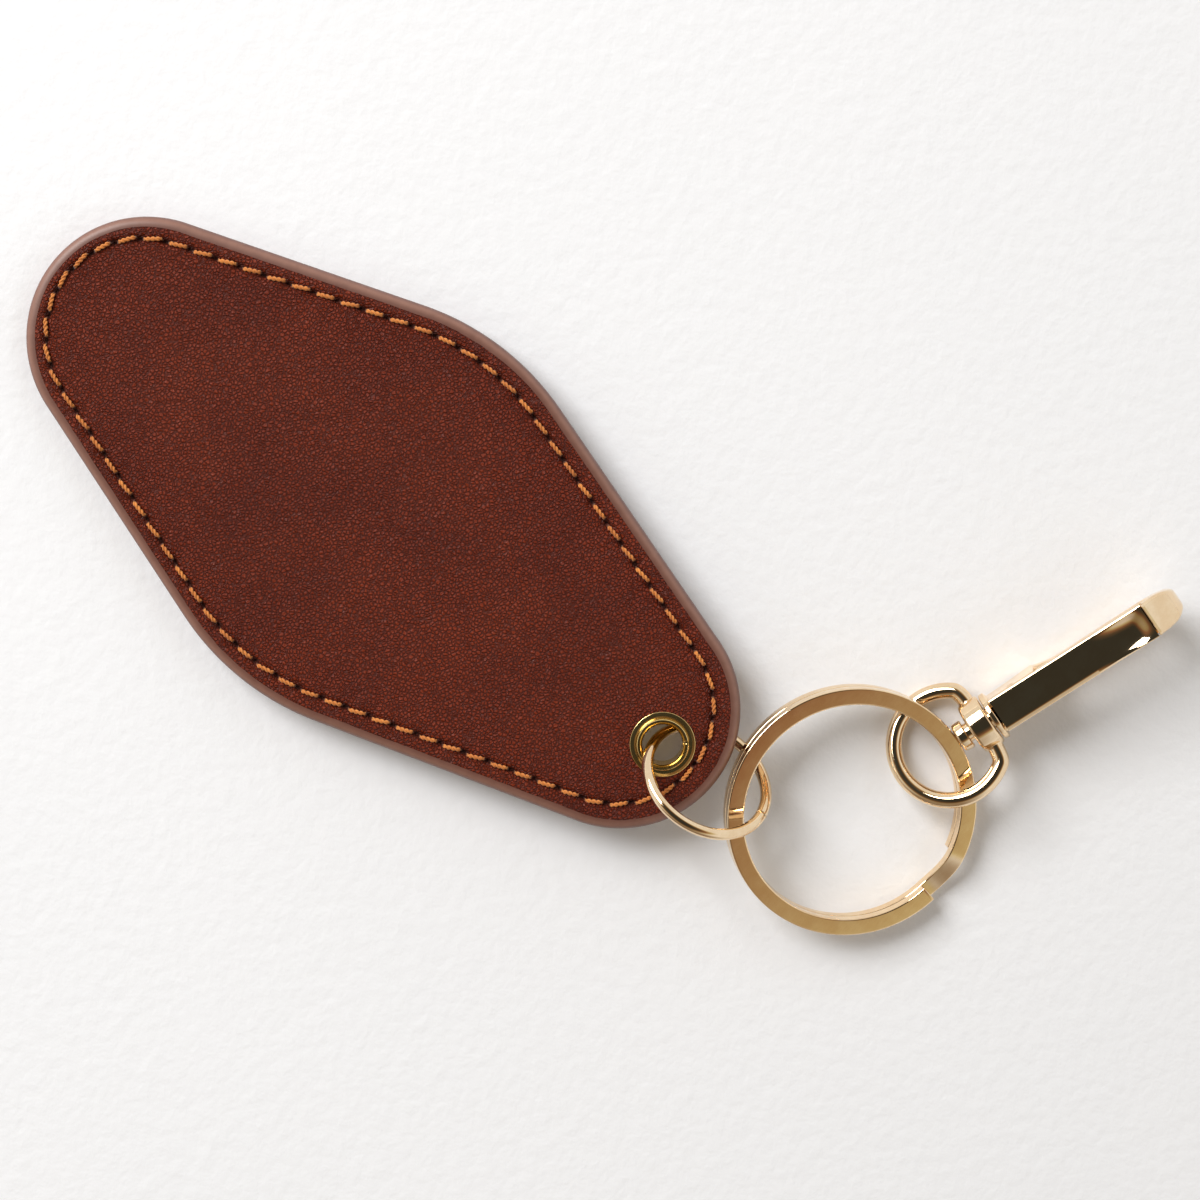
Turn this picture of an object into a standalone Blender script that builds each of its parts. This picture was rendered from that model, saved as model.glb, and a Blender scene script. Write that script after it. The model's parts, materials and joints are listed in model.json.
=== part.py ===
"""Leather key fob in the rounded-diamond shape, with an eyelet, a jump ring, a split ring
and a swivel hook with a sprung gate, lying as it does on a table.

Frame: the origin is on the fob's back face, halfway along it. +X runs along the fob to its
eyelet, +Z is up through the front face, and the unit is the metre.
"""

import math

import bmesh
import bpy
from mathutils import Matrix, Vector

MM = 0.001

# Fob: two leather faces on a board, with painted edges
FOB_LENGTH = 100.0 * MM
FOB_WIDTH = 50.5 * MM
END_RADIUS = 14.5 * MM
SIDE_RADIUS = 32.0 * MM
WAIST_SHIFT = -1.9 * MM  # the widest place, from the middle of the length
LEATHER_THICKNESS = 1.0 * MM
BOARD_THICKNESS = 0.6 * MM
GLUE_FILM = 0.05 * MM
PAINT_SHOULDER = 1.2 * MM  # how far the paint wraps on to each face
PAINT_THICKNESS = 0.3 * MM
PAINT_GAP = 0.05 * MM
FIELD_INSET = 12.0 * MM  # inside this line each face is at its full height
FIELD_RISE = 0.05 * MM  # the stitched margin is pressed down by this

# Stitching
STITCH_INSET = 2.9 * MM
STITCH_SHIFT = -0.5 * MM  # the stitched line sits this far along, towards the blunt end
THREAD_WIDTH = 0.5 * MM
THREAD_HEIGHT = 0.36 * MM
THREAD_PROUD = 0.1 * MM
THREAD_GAP = 0.07 * MM

# Eyelet and its washer
EYELET_INSET = 8.0 * MM  # the eyelet's centre, from the fob's end
EYELET_WALL = 0.35 * MM
EYELET_FLANGE_RADIUS = 3.9 * MM
EYELET_FLANGE = 0.25 * MM
EYELET_GAP = 0.05 * MM
EYELET_ROLL = 0.36 * MM  # the rolled rim's own radius
EYELET_MOUTH = 0.42 * MM  # radius of the rounded mouth behind
ROLL_LIFT = 0.02 * MM  # the rolled rim clears the washer by this
WASHER_RADIUS = 3.95 * MM
WASHER_THICKNESS = 0.3 * MM
WASHER_CHAMFER = 0.1 * MM

# Jump ring: round wire, butted ends
JUMP_RADIUS = 7.7 * MM  # to the middle of the wire
JUMP_WIRE = 1.4 * MM
JUMP_BUTT_GAP = 0.12 * MM
JUMP_TILT = 49.0  # degrees, of its plane from the fob's
JUMP_HEADING = 100.0  # degrees, the way its normal leans
JUMP_CENTRE = Vector((6.81, 0.02, 1.55)) * MM  # from the middle of the eyelet's bore
JUMP_BUTT_ANGLE = 2.0  # degrees round the ring
BORE_SLOPE = 43.0  # degrees, how steeply the wire goes through the bore
BORE_FLARE = 0.2 * MM  # thickness that the rounded mouths save
BORE_CLEARANCE = 0.09 * MM

# Split ring: flat wire, two turns less the crossover
SPLIT_RADIUS = 15.5 * MM  # outside
SPLIT_BAND = 2.05 * MM
SPLIT_WIRE_HEIGHT = 1.36 * MM
SPLIT_COIL_GAP = 0.08 * MM
SPLIT_CORNER = 0.25 * MM
SPLIT_CROSSOVER = 24.0  # degrees that the wire takes to climb one turn
SPLIT_END_ANGLE = -8.5  # degrees, where the upper turn is cut
SPLIT_TILT = 10.0
SPLIT_HEADING = 6.9
SPLIT_ON_JUMP = Vector((3.53, 1.57, -1.05)) * MM  # its link, from the jump ring's centre
SPLIT_LINK_ANGLE = 204.0  # degrees round the split ring, of that place

# Swivel eye: a ring with a bored collar across it
EYE_RADIUS = 6.65 * MM
EYE_WIRE = 2.0 * MM
EYE_HEADING = 73.2
EYE_RISE = 6.2
EYE_ROLL = -19.6
EYE_LINK_ANGLE = 77.5  # degrees round the split ring, where the eye hangs
EYE_ON_SPLIT = Vector((0.11, 1.49, 0.01)) * MM  # that place, from the eye's centre
COLLAR_OFFSET = 4.7 * MM
COLLAR_LENGTH = 2.7 * MM
COLLAR_RADIUS = 3.3 * MM
COLLAR_EDGE = 0.45 * MM
COLLAR_OVERLAP = 4.0  # degrees that the wire runs on into the collar
PIN_RADIUS = 1.2 * MM
PIN_RUNNING_GAP = 0.15 * MM
PIN_HEAD_RADIUS = 1.85 * MM
PIN_HEAD = 1.4 * MM
PIN_EDGE = 0.25 * MM
SWIVEL_PLAY = 0.6 * MM
FLANGE_PLAY = 0.2 * MM

# Hook: base, spine and nose, seen from the side with the gate on top
HOOK_LENGTH = 26.3 * MM  # from the flange's face to the tip
HOOK_WIDTH = 4.4 * MM
HOOK_ROLL = -5.0
HOOK_DEPTH = 5.3 * MM  # the spine's outer side below the swivel axis
HOOK_BAR = 2.1 * MM  # thickness of the spine
SPINE_WIDTH = 3.0 * MM
SPINE_SHOULDER = -1.4 * MM  # height where the body starts to narrow towards its spine
SPINE_TAPER = 1.6 * MM
WEDGE_START = 2.1 * MM  # the narrowing starts this far beyond the base block
NOSE_RADIUS = 4.9 * MM
NOSE_BAR = 2.3 * MM
NOSE_START = 4.3 * MM  # the nose's end face, back from the tip
NOSE_LIP = 1.2 * MM
FLANGE_RADIUS = 3.1 * MM
FLANGE_THICKNESS = 0.8 * MM
FLANGE_EDGE = 0.2 * MM
BLOCK_END = 7.3 * MM
BLOCK_TOP = 1.9 * MM
BLOCK_BOTTOM = 3.2 * MM
SLOT_WIDTH = 2.8 * MM
SLOT_START = 2.0 * MM
PIN_END = 1.6 * MM
PIN_BORE_END = 1.7 * MM
SLOT_FLOOR = -1.7 * MM
RIVET_PLACE = (4.0 * MM, 0.5 * MM)
RIVET_RADIUS = 0.6 * MM
RIVET_GAP = 0.04 * MM

# Gate: a channel that closes the hook
GATE_TOP_START = 2.9 * MM
GATE_TOP_END = 4.3 * MM
GATE_WEB = 0.75 * MM
GATE_DEPTH = 1.6 * MM
GATE_WALL = 0.7 * MM
GATE_GAP = 0.12 * MM
GATE_EDGE = 0.23 * MM
GATE_SCOOP = 0.35 * MM
SCOOP_WIDTH = 3.4 * MM
SCOOP_LENGTH = 8.0 * MM
SPRING_THICKNESS = 0.18 * MM
SPRING_WIDTH = 1.4 * MM

# Sizes that follow
FOB_THICKNESS = 2.0 * LEATHER_THICKNESS + BOARD_THICKNESS + 2.0 * GLUE_FILM
EYELET_X = FOB_LENGTH / 2.0 - EYELET_INSET
WIRE_IN_BORE = JUMP_WIRE / math.sin(math.radians(BORE_SLOPE))
WALL_IN_BORE = (FOB_THICKNESS - BORE_FLARE) / math.tan(math.radians(BORE_SLOPE))
BORE_RADIUS = 0.5 * (WIRE_IN_BORE + WALL_IN_BORE) + BORE_CLEARANCE
SPLIT_PITCH = SPLIT_WIRE_HEIGHT + SPLIT_COIL_GAP
SPLIT_MEAN = SPLIT_RADIUS - SPLIT_BAND / 2.0

COLOURS = {
    "leather": ((0.105, 0.018, 0.008), 0.45, 0.0),
    "edge_paint": ((0.22, 0.09, 0.06), 0.55, 0.0),
    "board": ((0.25, 0.2, 0.14), 0.8, 0.0),
    "thread": ((0.6, 0.2, 0.03), 0.6, 0.0),
    "brass": ((0.75, 0.58, 0.24), 0.18, 1.0),
    "pale_gold": ((0.85, 0.66, 0.42), 0.12, 1.0),
    "spring_steel": ((0.55, 0.55, 0.55), 0.3, 1.0),
}


def clear_scene():
    for obj in list(bpy.data.objects):
        bpy.data.objects.remove(obj, do_unlink=True)


def material(name):
    found = bpy.data.materials.get(name)
    if found:
        return found
    colour, roughness, metallic = COLOURS[name]
    made = bpy.data.materials.new(name)
    made.use_nodes = True
    shader = made.node_tree.nodes["Principled BSDF"]
    shader.inputs["Base Color"].default_value = (*colour, 1.0)
    shader.inputs["Roughness"].default_value = roughness
    shader.inputs["Metallic"].default_value = metallic
    return made


def new_object(name, bm, finish, parent=None):
    """An object from a bmesh, smooth except at its sharp edges."""
    bmesh.ops.recalc_face_normals(bm, faces=bm.faces)
    mesh = bpy.data.meshes.new(name)
    bm.to_mesh(mesh)
    bm.free()
    mesh.shade_smooth()
    mesh.set_sharp_from_angle(angle=math.radians(35.0))
    mesh.materials.append(material(finish))
    obj = bpy.data.objects.new(name, mesh)
    bpy.context.scene.collection.objects.link(obj)
    obj.parent = parent
    return obj


def empty(name, location, rotation=None, parent=None):
    obj = bpy.data.objects.new(name, None)
    bpy.context.scene.collection.objects.link(obj)
    obj.parent = parent
    turn = rotation.to_4x4() if rotation else Matrix.Identity(4)
    obj.matrix_local = Matrix.Translation(location) @ turn
    return obj


def cut(obj, cutter, operation="DIFFERENCE"):
    """A Boolean with a helper that the render leaves out."""
    cutter.hide_render = True
    cutter.display_type = "WIRE"
    modifier = obj.modifiers.new(cutter.name, "BOOLEAN")
    modifier.operation = operation
    modifier.solver = "EXACT"
    modifier.object = cutter


def loft(bm, rings, closed_along=False):
    """Quads between rings of points, with capped ends unless the last ring joins the first."""
    loops = [[bm.verts.new(point) for point in ring] for ring in rings]
    count = len(loops[0])
    pairs = list(zip(loops, loops[1:]))
    if closed_along:
        pairs.append((loops[-1], loops[0]))
    for first, second in pairs:
        for i in range(count):
            j = (i + 1) % count
            bm.faces.new((first[i], first[j], second[j], second[i]))
    if not closed_along:
        bm.faces.new(loops[0])
        bm.faces.new(loops[-1])


def turned(name, profile, finish, segments=48, parent=None):
    """A closed profile of (radius, height) pairs, clear of the axis, turned about Z."""
    bm = bmesh.new()
    rings = []
    for i in range(segments):
        angle = 2.0 * math.pi * i / segments
        rings.append([(r * math.cos(angle), r * math.sin(angle), z) for r, z in profile])
    loft(bm, rings, closed_along=True)
    return new_object(name, bm, finish, parent)


def rod(name, profile, finish, segments=24, parent=None):
    """A solid turned about X, from (place along X, radius) pairs."""
    bm = bmesh.new()
    rings = []
    for x, r in profile:
        ring = []
        for i in range(segments):
            angle = 2.0 * math.pi * i / segments
            ring.append((x, r * math.cos(angle), r * math.sin(angle)))
        rings.append(ring)
    loft(bm, rings)
    return new_object(name, bm, finish, parent)


def slab(name, outline, half_width, finish, parent=None):
    """A side outline in XZ, as thick as twice half_width along Y."""
    bm = bmesh.new()
    rings = [[(x, y, z) for x, z in outline] for y in (-half_width, half_width)]
    loft(bm, rings)
    return new_object(name, bm, finish, parent)


def arc(centre, radius, start, end, count):
    """Points on an arc, angles in degrees."""
    points = []
    for i in range(count + 1):
        angle = math.radians(start + (end - start) * i / count)
        points.append((centre[0] + radius * math.cos(angle), centre[1] + radius * math.sin(angle)))
    return points


def tangent_angle(reach, drop):
    """The direction of the normal, from X, of the line that touches an end and a side arc."""
    distance = math.hypot(reach, drop)
    return math.degrees(math.acos((SIDE_RADIUS - END_RADIUS) / distance) - math.atan2(drop, reach))


def fob_outline(inset, end_steps=12, side_steps=7):
    """The fob's outline, moved inwards: two end arcs and two side arcs joined by lines.

    Lines as far in as the stitching are shifted along with it.
    """
    reach = FOB_LENGTH / 2.0 - END_RADIUS
    drop = FOB_WIDTH / 2.0 - SIDE_RADIUS
    right = tangent_angle(reach - WAIST_SHIFT, drop)
    left = tangent_angle(reach + WAIST_SHIFT, drop)
    end = END_RADIUS - inset
    side = SIDE_RADIUS - inset
    points = arc((reach, 0.0), end, -right, right, end_steps)
    points += arc((WAIST_SHIFT, drop), side, right, 180.0 - left, side_steps)
    points += arc((-reach, 0.0), end, 180.0 - left, 180.0 + left, end_steps)
    points += arc((WAIST_SHIFT, -drop), side, 180.0 + left, 360.0 - right, side_steps)
    shift = STITCH_SHIFT if inset > 0.5 * (PAINT_SHOULDER + STITCH_INSET) else 0.0
    return [(x + shift, y) for x, y in points]


def plate(bm, levels):
    """A closed solid from (inset, height) pairs that run from its back to its front."""
    loft(bm, [[(x, y, z) for x, y in fob_outline(inset)] for inset, z in levels])


def band(bm, section):
    """A closed ring round the fob from a closed section of (inset, height) pairs."""
    outlines = [fob_outline(inset) for inset, z in section]
    rings = []
    for i in range(len(outlines[0])):
        rings.append([(*outlines[k][i], section[k][1]) for k in range(len(section))])
    loft(bm, rings, closed_along=True)


def shoulder(depth, steps=5):
    """The rounded edge of the front face, depth below the paint's surface, side to top."""
    across = PAINT_SHOULDER - depth
    middle = FOB_THICKNESS - GLUE_FILM - PAINT_SHOULDER
    quarter = arc((PAINT_SHOULDER, middle), across, 180.0, 90.0, steps)
    return [(inset, z) for inset, z in quarter]


def mirrored(section):
    """The same section on the back, from the top down to the side."""
    return [(inset, FOB_THICKNESS - z) for inset, z in section]


def eyelet_hole(name):
    """The round hole through the leather and the board, for the eyelet's barrel."""
    radius = BORE_RADIUS + EYELET_WALL + EYELET_GAP
    bm = bmesh.new()
    bmesh.ops.create_cone(
        bm, cap_ends=True, segments=40, radius1=radius, radius2=radius, depth=3.0 * FOB_THICKNESS
    )
    cutter = new_object(name, bm, "brass")
    cutter.location = (EYELET_X, 0.0, FOB_THICKNESS / 2.0)
    return cutter


def leather_levels():
    """One leather face, from the board out: rim under the paint, stitching groove, field."""
    depth = PAINT_THICKNESS + PAINT_GAP
    under_paint = [point for point in shoulder(depth) if point[1] > FOB_THICKNESS - LEATHER_THICKNESS]
    base = FOB_THICKNESS - LEATHER_THICKNESS
    groove = THREAD_WIDTH / 2.0 + THREAD_GAP
    floor = FOB_THICKNESS - THREAD_HEIGHT + THREAD_PROUD - THREAD_GAP
    levels = [(under_paint[0][0], base)] + under_paint
    levels += [(PAINT_SHOULDER + PAINT_GAP, under_paint[-1][1])]
    margin = FOB_THICKNESS - FIELD_RISE
    levels += [(PAINT_SHOULDER + 2.0 * PAINT_GAP, margin)]
    levels += [(STITCH_INSET - groove, margin), (STITCH_INSET - groove, floor)]
    levels += [(STITCH_INSET + groove, floor), (STITCH_INSET + groove, margin)]
    levels += [(FIELD_INSET, FOB_THICKNESS)]
    return levels


def make_leather(name, front):
    bm = bmesh.new()
    levels = leather_levels()
    plate(bm, levels if front else mirrored(levels)[::-1])
    obj = new_object(name, bm, "leather")
    cut(obj, eyelet_hole(name + "_hole"))
    return obj


def make_board():
    bottom = LEATHER_THICKNESS + GLUE_FILM
    inset = PAINT_THICKNESS + 2.0 * PAINT_GAP
    bm = bmesh.new()
    plate(bm, [(inset, bottom), (inset, bottom + BOARD_THICKNESS)])
    cut(new_object("core_board", bm, "board"), eyelet_hole("core_board_hole"))


def make_edge_paint():
    outer = shoulder(0.0)
    inner = shoulder(PAINT_THICKNESS)
    section = outer + inner[::-1] + mirrored(inner) + mirrored(outer)[::-1]
    bm = bmesh.new()
    band(bm, section)
    new_object("edge_paint", bm, "edge_paint")


def make_thread(name, front):
    half = THREAD_WIDTH / 2.0
    top = FOB_THICKNESS + THREAD_PROUD
    bottom = top - THREAD_HEIGHT
    corner = THREAD_HEIGHT / 3.0
    section = [
        (STITCH_INSET - half, bottom + corner),
        (STITCH_INSET - half + corner, bottom),
        (STITCH_INSET + half - corner, bottom),
        (STITCH_INSET + half, bottom + corner),
        (STITCH_INSET + half, top - corner),
        (STITCH_INSET + half - corner, top),
        (STITCH_INSET - half + corner, top),
        (STITCH_INSET - half, top - corner),
    ]
    bm = bmesh.new()
    band(bm, section if front else mirrored(section))
    new_object(name, bm, "thread")


def make_eyelet():
    """Barrel with a flat flange behind and a rim rolled over the washer in front."""
    outer = BORE_RADIUS + EYELET_WALL
    crest = FOB_THICKNESS + WASHER_THICKNESS + ROLL_LIFT
    back = -EYELET_FLANGE - EYELET_GAP
    profile = [(EYELET_FLANGE_RADIUS, -EYELET_GAP), (EYELET_FLANGE_RADIUS, back)]
    profile += arc((BORE_RADIUS + EYELET_MOUTH, back + EYELET_MOUTH), EYELET_MOUTH, 270.0, 180.0, 4)
    profile += arc((BORE_RADIUS + EYELET_ROLL, crest), EYELET_ROLL, 180.0, 0.0, 8)
    profile += [(outer, crest), (outer, -EYELET_GAP)]
    obj = turned("eyelet", profile[::-1], "brass", 40)
    obj.location = (EYELET_X, 0.0, 0.0)


def make_washer():
    inner = BORE_RADIUS + EYELET_WALL + EYELET_GAP
    bottom = FOB_THICKNESS + EYELET_GAP
    top = FOB_THICKNESS + WASHER_THICKNESS - EYELET_GAP
    profile = [
        (inner, bottom),
        (WASHER_RADIUS, bottom),
        (WASHER_RADIUS - WASHER_CHAMFER, top),
        (inner, top),
    ]
    obj = turned("eyelet_washer", profile, "brass", 40)
    obj.location = (EYELET_X, 0.0, 0.0)


def leaning(tilt, heading):
    """A turn that leans +Z by tilt towards heading, both in degrees."""
    turn = Matrix.Rotation(math.radians(heading), 3, "Z")
    return turn @ Matrix.Rotation(math.radians(tilt), 3, "Y") @ turn.inverted()


def swept_ring(name, section, radius, start, end, steps, finish, parent, lift=None):
    """A section of (out, up) pairs carried round Z from start to end, in degrees, and capped."""
    bm = bmesh.new()
    rings = []
    for i in range(steps + 1):
        degrees = start + (end - start) * i / steps
        angle = math.radians(degrees)
        rise = lift(degrees) if lift else 0.0
        ring = []
        for out, up in section:
            reach = radius + out
            ring.append((reach * math.cos(angle), reach * math.sin(angle), up + rise))
        rings.append(ring)
    loft(bm, rings)
    return new_object(name, bm, finish, parent)


def jump_ring_place():
    return Vector((EYELET_X, 0.0, FOB_THICKNESS / 2.0)) + JUMP_CENTRE


def make_jump_ring(axis):
    """A wire ring through the eyelet, open by a hair where its ends meet."""
    half_gap = math.degrees(JUMP_BUTT_GAP / JUMP_RADIUS) / 2.0
    start = JUMP_BUTT_ANGLE + half_gap
    section = arc((0.0, 0.0), JUMP_WIRE / 2.0, 0.0, 324.0, 9)
    obj = swept_ring(
        "jump_ring", section, JUMP_RADIUS, start, start + 360.0 - 2.0 * half_gap, 52, "pale_gold", axis
    )
    place = jump_ring_place() - axis.location
    obj.matrix_local = Matrix.Translation(place) @ leaning(JUMP_TILT, JUMP_HEADING).to_4x4()


def split_ring_turn():
    return leaning(SPLIT_TILT, SPLIT_HEADING)


def on_split_ring(degrees):
    angle = math.radians(degrees)
    return split_ring_turn() @ Vector((SPLIT_MEAN * math.cos(angle), SPLIT_MEAN * math.sin(angle), 0.0))


def split_ring_link():
    return jump_ring_place() + SPLIT_ON_JUMP


def split_ring_centre():
    return split_ring_link() - on_split_ring(SPLIT_LINK_ANGLE)


def split_lift(degrees):
    """Height of the wire's middle: the lower turn, the crossover, then the upper turn."""
    climb = (degrees - SPLIT_END_ANGLE - 360.0) / SPLIT_CROSSOVER
    share = min(max(climb, 0.0), 1.0)
    return SPLIT_PITCH * (share * share * (3.0 - 2.0 * share) - 0.5)


def make_split_ring(axis):
    """Two turns of flat wire that lie on each other, joined by the crossover."""
    half = SPLIT_BAND / 2.0
    high = SPLIT_WIRE_HEIGHT / 2.0
    corner = SPLIT_CORNER
    section = [
        (half, -high + corner),
        (half, high - corner),
        (half - corner, high),
        (corner - half, high),
        (-half, high - corner),
        (-half, corner - high),
        (corner - half, -high),
        (half - corner, -high),
    ]
    start = SPLIT_END_ANGLE + SPLIT_CROSSOVER
    end = SPLIT_END_ANGLE + 720.0
    obj = swept_ring("split_ring", section, SPLIT_MEAN, start, end, 96, "pale_gold", axis, split_lift)
    place = split_ring_centre() - split_ring_link()
    obj.matrix_local = Matrix.Translation(place) @ split_ring_turn().to_4x4()


def hook_turn(roll):
    """X along the swivel axis to the hook's tip, Z up, rolled about X by roll in degrees."""
    heading = Matrix.Rotation(math.radians(EYE_HEADING), 3, "Z")
    rise = Matrix.Rotation(math.radians(-EYE_RISE), 3, "Y")
    return heading @ rise @ Matrix.Rotation(math.radians(roll), 3, "X")


def eye_link():
    return split_ring_centre() + on_split_ring(EYE_LINK_ANGLE)


def eye_centre():
    return eye_link() - hook_turn(EYE_ROLL) @ EYE_ON_SPLIT


def make_swivel_eye(axis):
    """A wire ring whose hook side is a bored collar."""
    section = arc((0.0, 0.0), EYE_WIRE / 2.0, 0.0, 324.0, 9)
    collar_angle = math.degrees(math.acos(COLLAR_OFFSET / EYE_RADIUS))
    chord = collar_angle - COLLAR_OVERLAP
    obj = swept_ring("swivel_eye", section, EYE_RADIUS, chord, 360.0 - chord, 44, "pale_gold", axis)
    front = COLLAR_OFFSET + COLLAR_LENGTH / 2.0
    back = COLLAR_OFFSET - COLLAR_LENGTH / 2.0
    half = COLLAR_RADIUS
    rim = COLLAR_RADIUS - COLLAR_EDGE
    barrel = rod(
        "swivel_eye_collar",
        [(back, rim), (back + COLLAR_EDGE, half), (front - COLLAR_EDGE, half), (front, rim)],
        "pale_gold",
        32,
        obj,
    )
    reach = EYE_RADIUS * math.sin(math.radians(collar_angle))
    bar = slab(
        "swivel_eye_bar",
        arc((COLLAR_OFFSET, 0.0), EYE_WIRE / 2.0, 0.0, 330.0, 11),
        reach,
        "pale_gold",
        obj,
    )
    bore = PIN_RADIUS + PIN_RUNNING_GAP
    run_out = [(back - COLLAR_EDGE, bore), (front + COLLAR_EDGE, bore)]
    hole = rod("swivel_eye_bore", run_out, "pale_gold", 24, obj)
    cut(obj, bar, "UNION")
    cut(obj, barrel, "UNION")
    cut(obj, hole)
    place = eye_centre() - eye_link()
    obj.matrix_local = Matrix.Translation(place) @ hook_turn(EYE_ROLL).to_4x4()
    return obj


def flange_face():
    """The hook's flange, along the swivel axis from the eye's centre."""
    return COLLAR_OFFSET + COLLAR_LENGTH / 2.0 + FLANGE_PLAY


def make_pin(frame):
    """A riveted pin: its head is inside the eye and its end in the hook's base."""
    head_end = -(COLLAR_LENGTH + FLANGE_PLAY + SWIVEL_PLAY)
    rim = PIN_HEAD_RADIUS - PIN_EDGE
    rod(
        "swivel_pin",
        [
            (head_end - PIN_HEAD, rim),
            (head_end - PIN_HEAD + PIN_EDGE, PIN_HEAD_RADIUS),
            (head_end - PIN_EDGE, PIN_HEAD_RADIUS),
            (head_end, rim),
            (head_end, PIN_RADIUS),
            (PIN_END, PIN_RADIUS),
        ],
        "pale_gold",
        24,
        frame,
    )


def gate_top(x):
    """Height of the gate's top face, a straight slope from the flange to the nose."""
    end = HOOK_LENGTH - NOSE_START
    return GATE_TOP_START + (GATE_TOP_END - GATE_TOP_START) * x / end


def hook_outline():
    """The hook's side: base block, spine, tip, nose, and back along the inside."""
    tip = (HOOK_LENGTH - NOSE_RADIUS, 0.0)
    inner = NOSE_RADIUS - NOSE_BAR
    face = HOOK_LENGTH - NOSE_START
    face_angle = math.degrees(math.acos((face - tip[0]) / NOSE_RADIUS))
    lip_under = gate_top(face) - GATE_WEB
    step = face + NOSE_LIP
    step_angle = math.degrees(math.acos((step - tip[0]) / inner))
    outline = [(FLANGE_THICKNESS / 2.0, BLOCK_TOP), (FLANGE_THICKNESS / 2.0, -BLOCK_BOTTOM)]
    outline += [(0.5 * BLOCK_END, -0.5 * (BLOCK_BOTTOM + HOOK_DEPTH) - 0.2 * MM)]
    outline += [(BLOCK_END + 2.0 * MM, -HOOK_DEPTH), (0.75 * tip[0], -HOOK_DEPTH)]
    outline += arc(tip, NOSE_RADIUS, -90.0, face_angle, 14)
    outline += [(face, lip_under + GATE_GAP), (step, lip_under + GATE_GAP)]
    outline += arc(tip, inner, step_angle, -90.0, 10)
    outline += [(0.75 * tip[0], HOOK_BAR - HOOK_DEPTH), (BLOCK_END + 1.5 * MM, HOOK_BAR - HOOK_DEPTH)]
    outline += [(BLOCK_END, HOOK_BAR - HOOK_DEPTH + 0.8 * MM), (BLOCK_END, BLOCK_TOP)]
    return outline


def bevel(obj, width):
    modifier = obj.modifiers.new("edges", "BEVEL")
    modifier.width = width
    modifier.segments = 1
    modifier.limit_method = "ANGLE"
    modifier.angle_limit = math.radians(50.0)
    modifier.use_clamp_overlap = True


def rivet_bore(name, frame):
    """A hole across the hook for the gate's rivet."""
    radius = RIVET_RADIUS + RIVET_GAP
    bm = bmesh.new()
    bmesh.ops.create_cone(
        bm, cap_ends=True, segments=20, radius1=radius, radius2=radius, depth=2.0 * HOOK_WIDTH
    )
    obj = new_object(name, bm, "pale_gold", frame)
    x, z = RIVET_PLACE
    obj.matrix_local = Matrix.Translation((x, 0.0, z)) @ Matrix.Rotation(math.pi / 2.0, 4, "X")
    return obj


def spine_wedges(frame):
    """What is cut away beside the spine and the nose, one wedge on each side."""
    slope = 2.0 * SPINE_TAPER / (HOOK_WIDTH - SPINE_WIDTH)
    bm = bmesh.new()
    for side in (-1.0, 1.0):
        wedge = [
            (side * SPINE_WIDTH / 2.0, -2.0 * HOOK_DEPTH),
            (side * HOOK_WIDTH, -2.0 * HOOK_DEPTH),
            (side * HOOK_WIDTH, SPINE_SHOULDER + slope * HOOK_WIDTH / 2.0),
            (side * SPINE_WIDTH / 2.0, SPINE_SHOULDER - SPINE_TAPER),
        ]
        ends = (BLOCK_END + WEDGE_START, HOOK_LENGTH + HOOK_WIDTH)
        loft(bm, [[(x, y, z) for y, z in wedge] for x in ends])
    return new_object("hook_spine_wedges", bm, "pale_gold", frame)


def make_hook(frame):
    """Base with a flange and a slot for the gate, the spine, and the nose."""
    hook = slab("hook_body", hook_outline(), HOOK_WIDTH / 2.0, "pale_gold", frame)
    rim = FLANGE_RADIUS - FLANGE_EDGE
    flange = rod(
        "hook_flange",
        [
            (0.0, rim),
            (FLANGE_EDGE, FLANGE_RADIUS),
            (FLANGE_THICKNESS - FLANGE_EDGE, FLANGE_RADIUS),
            (FLANGE_THICKNESS, rim),
        ],
        "pale_gold",
        32,
        frame,
    )
    slot_top = 2.0 * BLOCK_TOP
    slot = slab(
        "hook_slot",
        [
            (SLOT_START, SLOT_FLOOR),
            (BLOCK_END + 1.0 * MM, SLOT_FLOOR),
            (BLOCK_END + 1.0 * MM, slot_top),
            (SLOT_START, slot_top),
        ],
        SLOT_WIDTH / 2.0,
        "pale_gold",
        frame,
    )
    bore = PIN_RADIUS + RIVET_GAP
    pin_bore = [(-FLANGE_THICKNESS, bore), (PIN_BORE_END, bore)]
    hole = rod("hook_pin_bore", pin_bore, "pale_gold", 24, frame)
    cut(hook, spine_wedges(frame))
    cut(hook, flange, "UNION")
    cut(hook, slot)
    cut(hook, hole)
    cut(hook, rivet_bore("hook_rivet_bore", frame))


def gate_outline():
    """The gate's side: a web over the base, deeper walls beyond it, a tongue under the lip."""
    start = FLANGE_THICKNESS + GATE_GAP
    end = HOOK_LENGTH - NOSE_START - GATE_GAP
    tongue = end + NOSE_LIP - GATE_GAP
    wall_start = BLOCK_END + 3.0 * GATE_GAP
    return [
        (start, gate_top(start)),
        (end, gate_top(end)),
        (end, gate_top(end) - GATE_WEB),
        (tongue, gate_top(end) - GATE_WEB),
        (tongue, gate_top(end) - GATE_DEPTH),
        (wall_start, gate_top(wall_start) - GATE_DEPTH),
        (wall_start, gate_top(wall_start) - GATE_WEB),
        (start, gate_top(start) - GATE_WEB),
    ]


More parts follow.
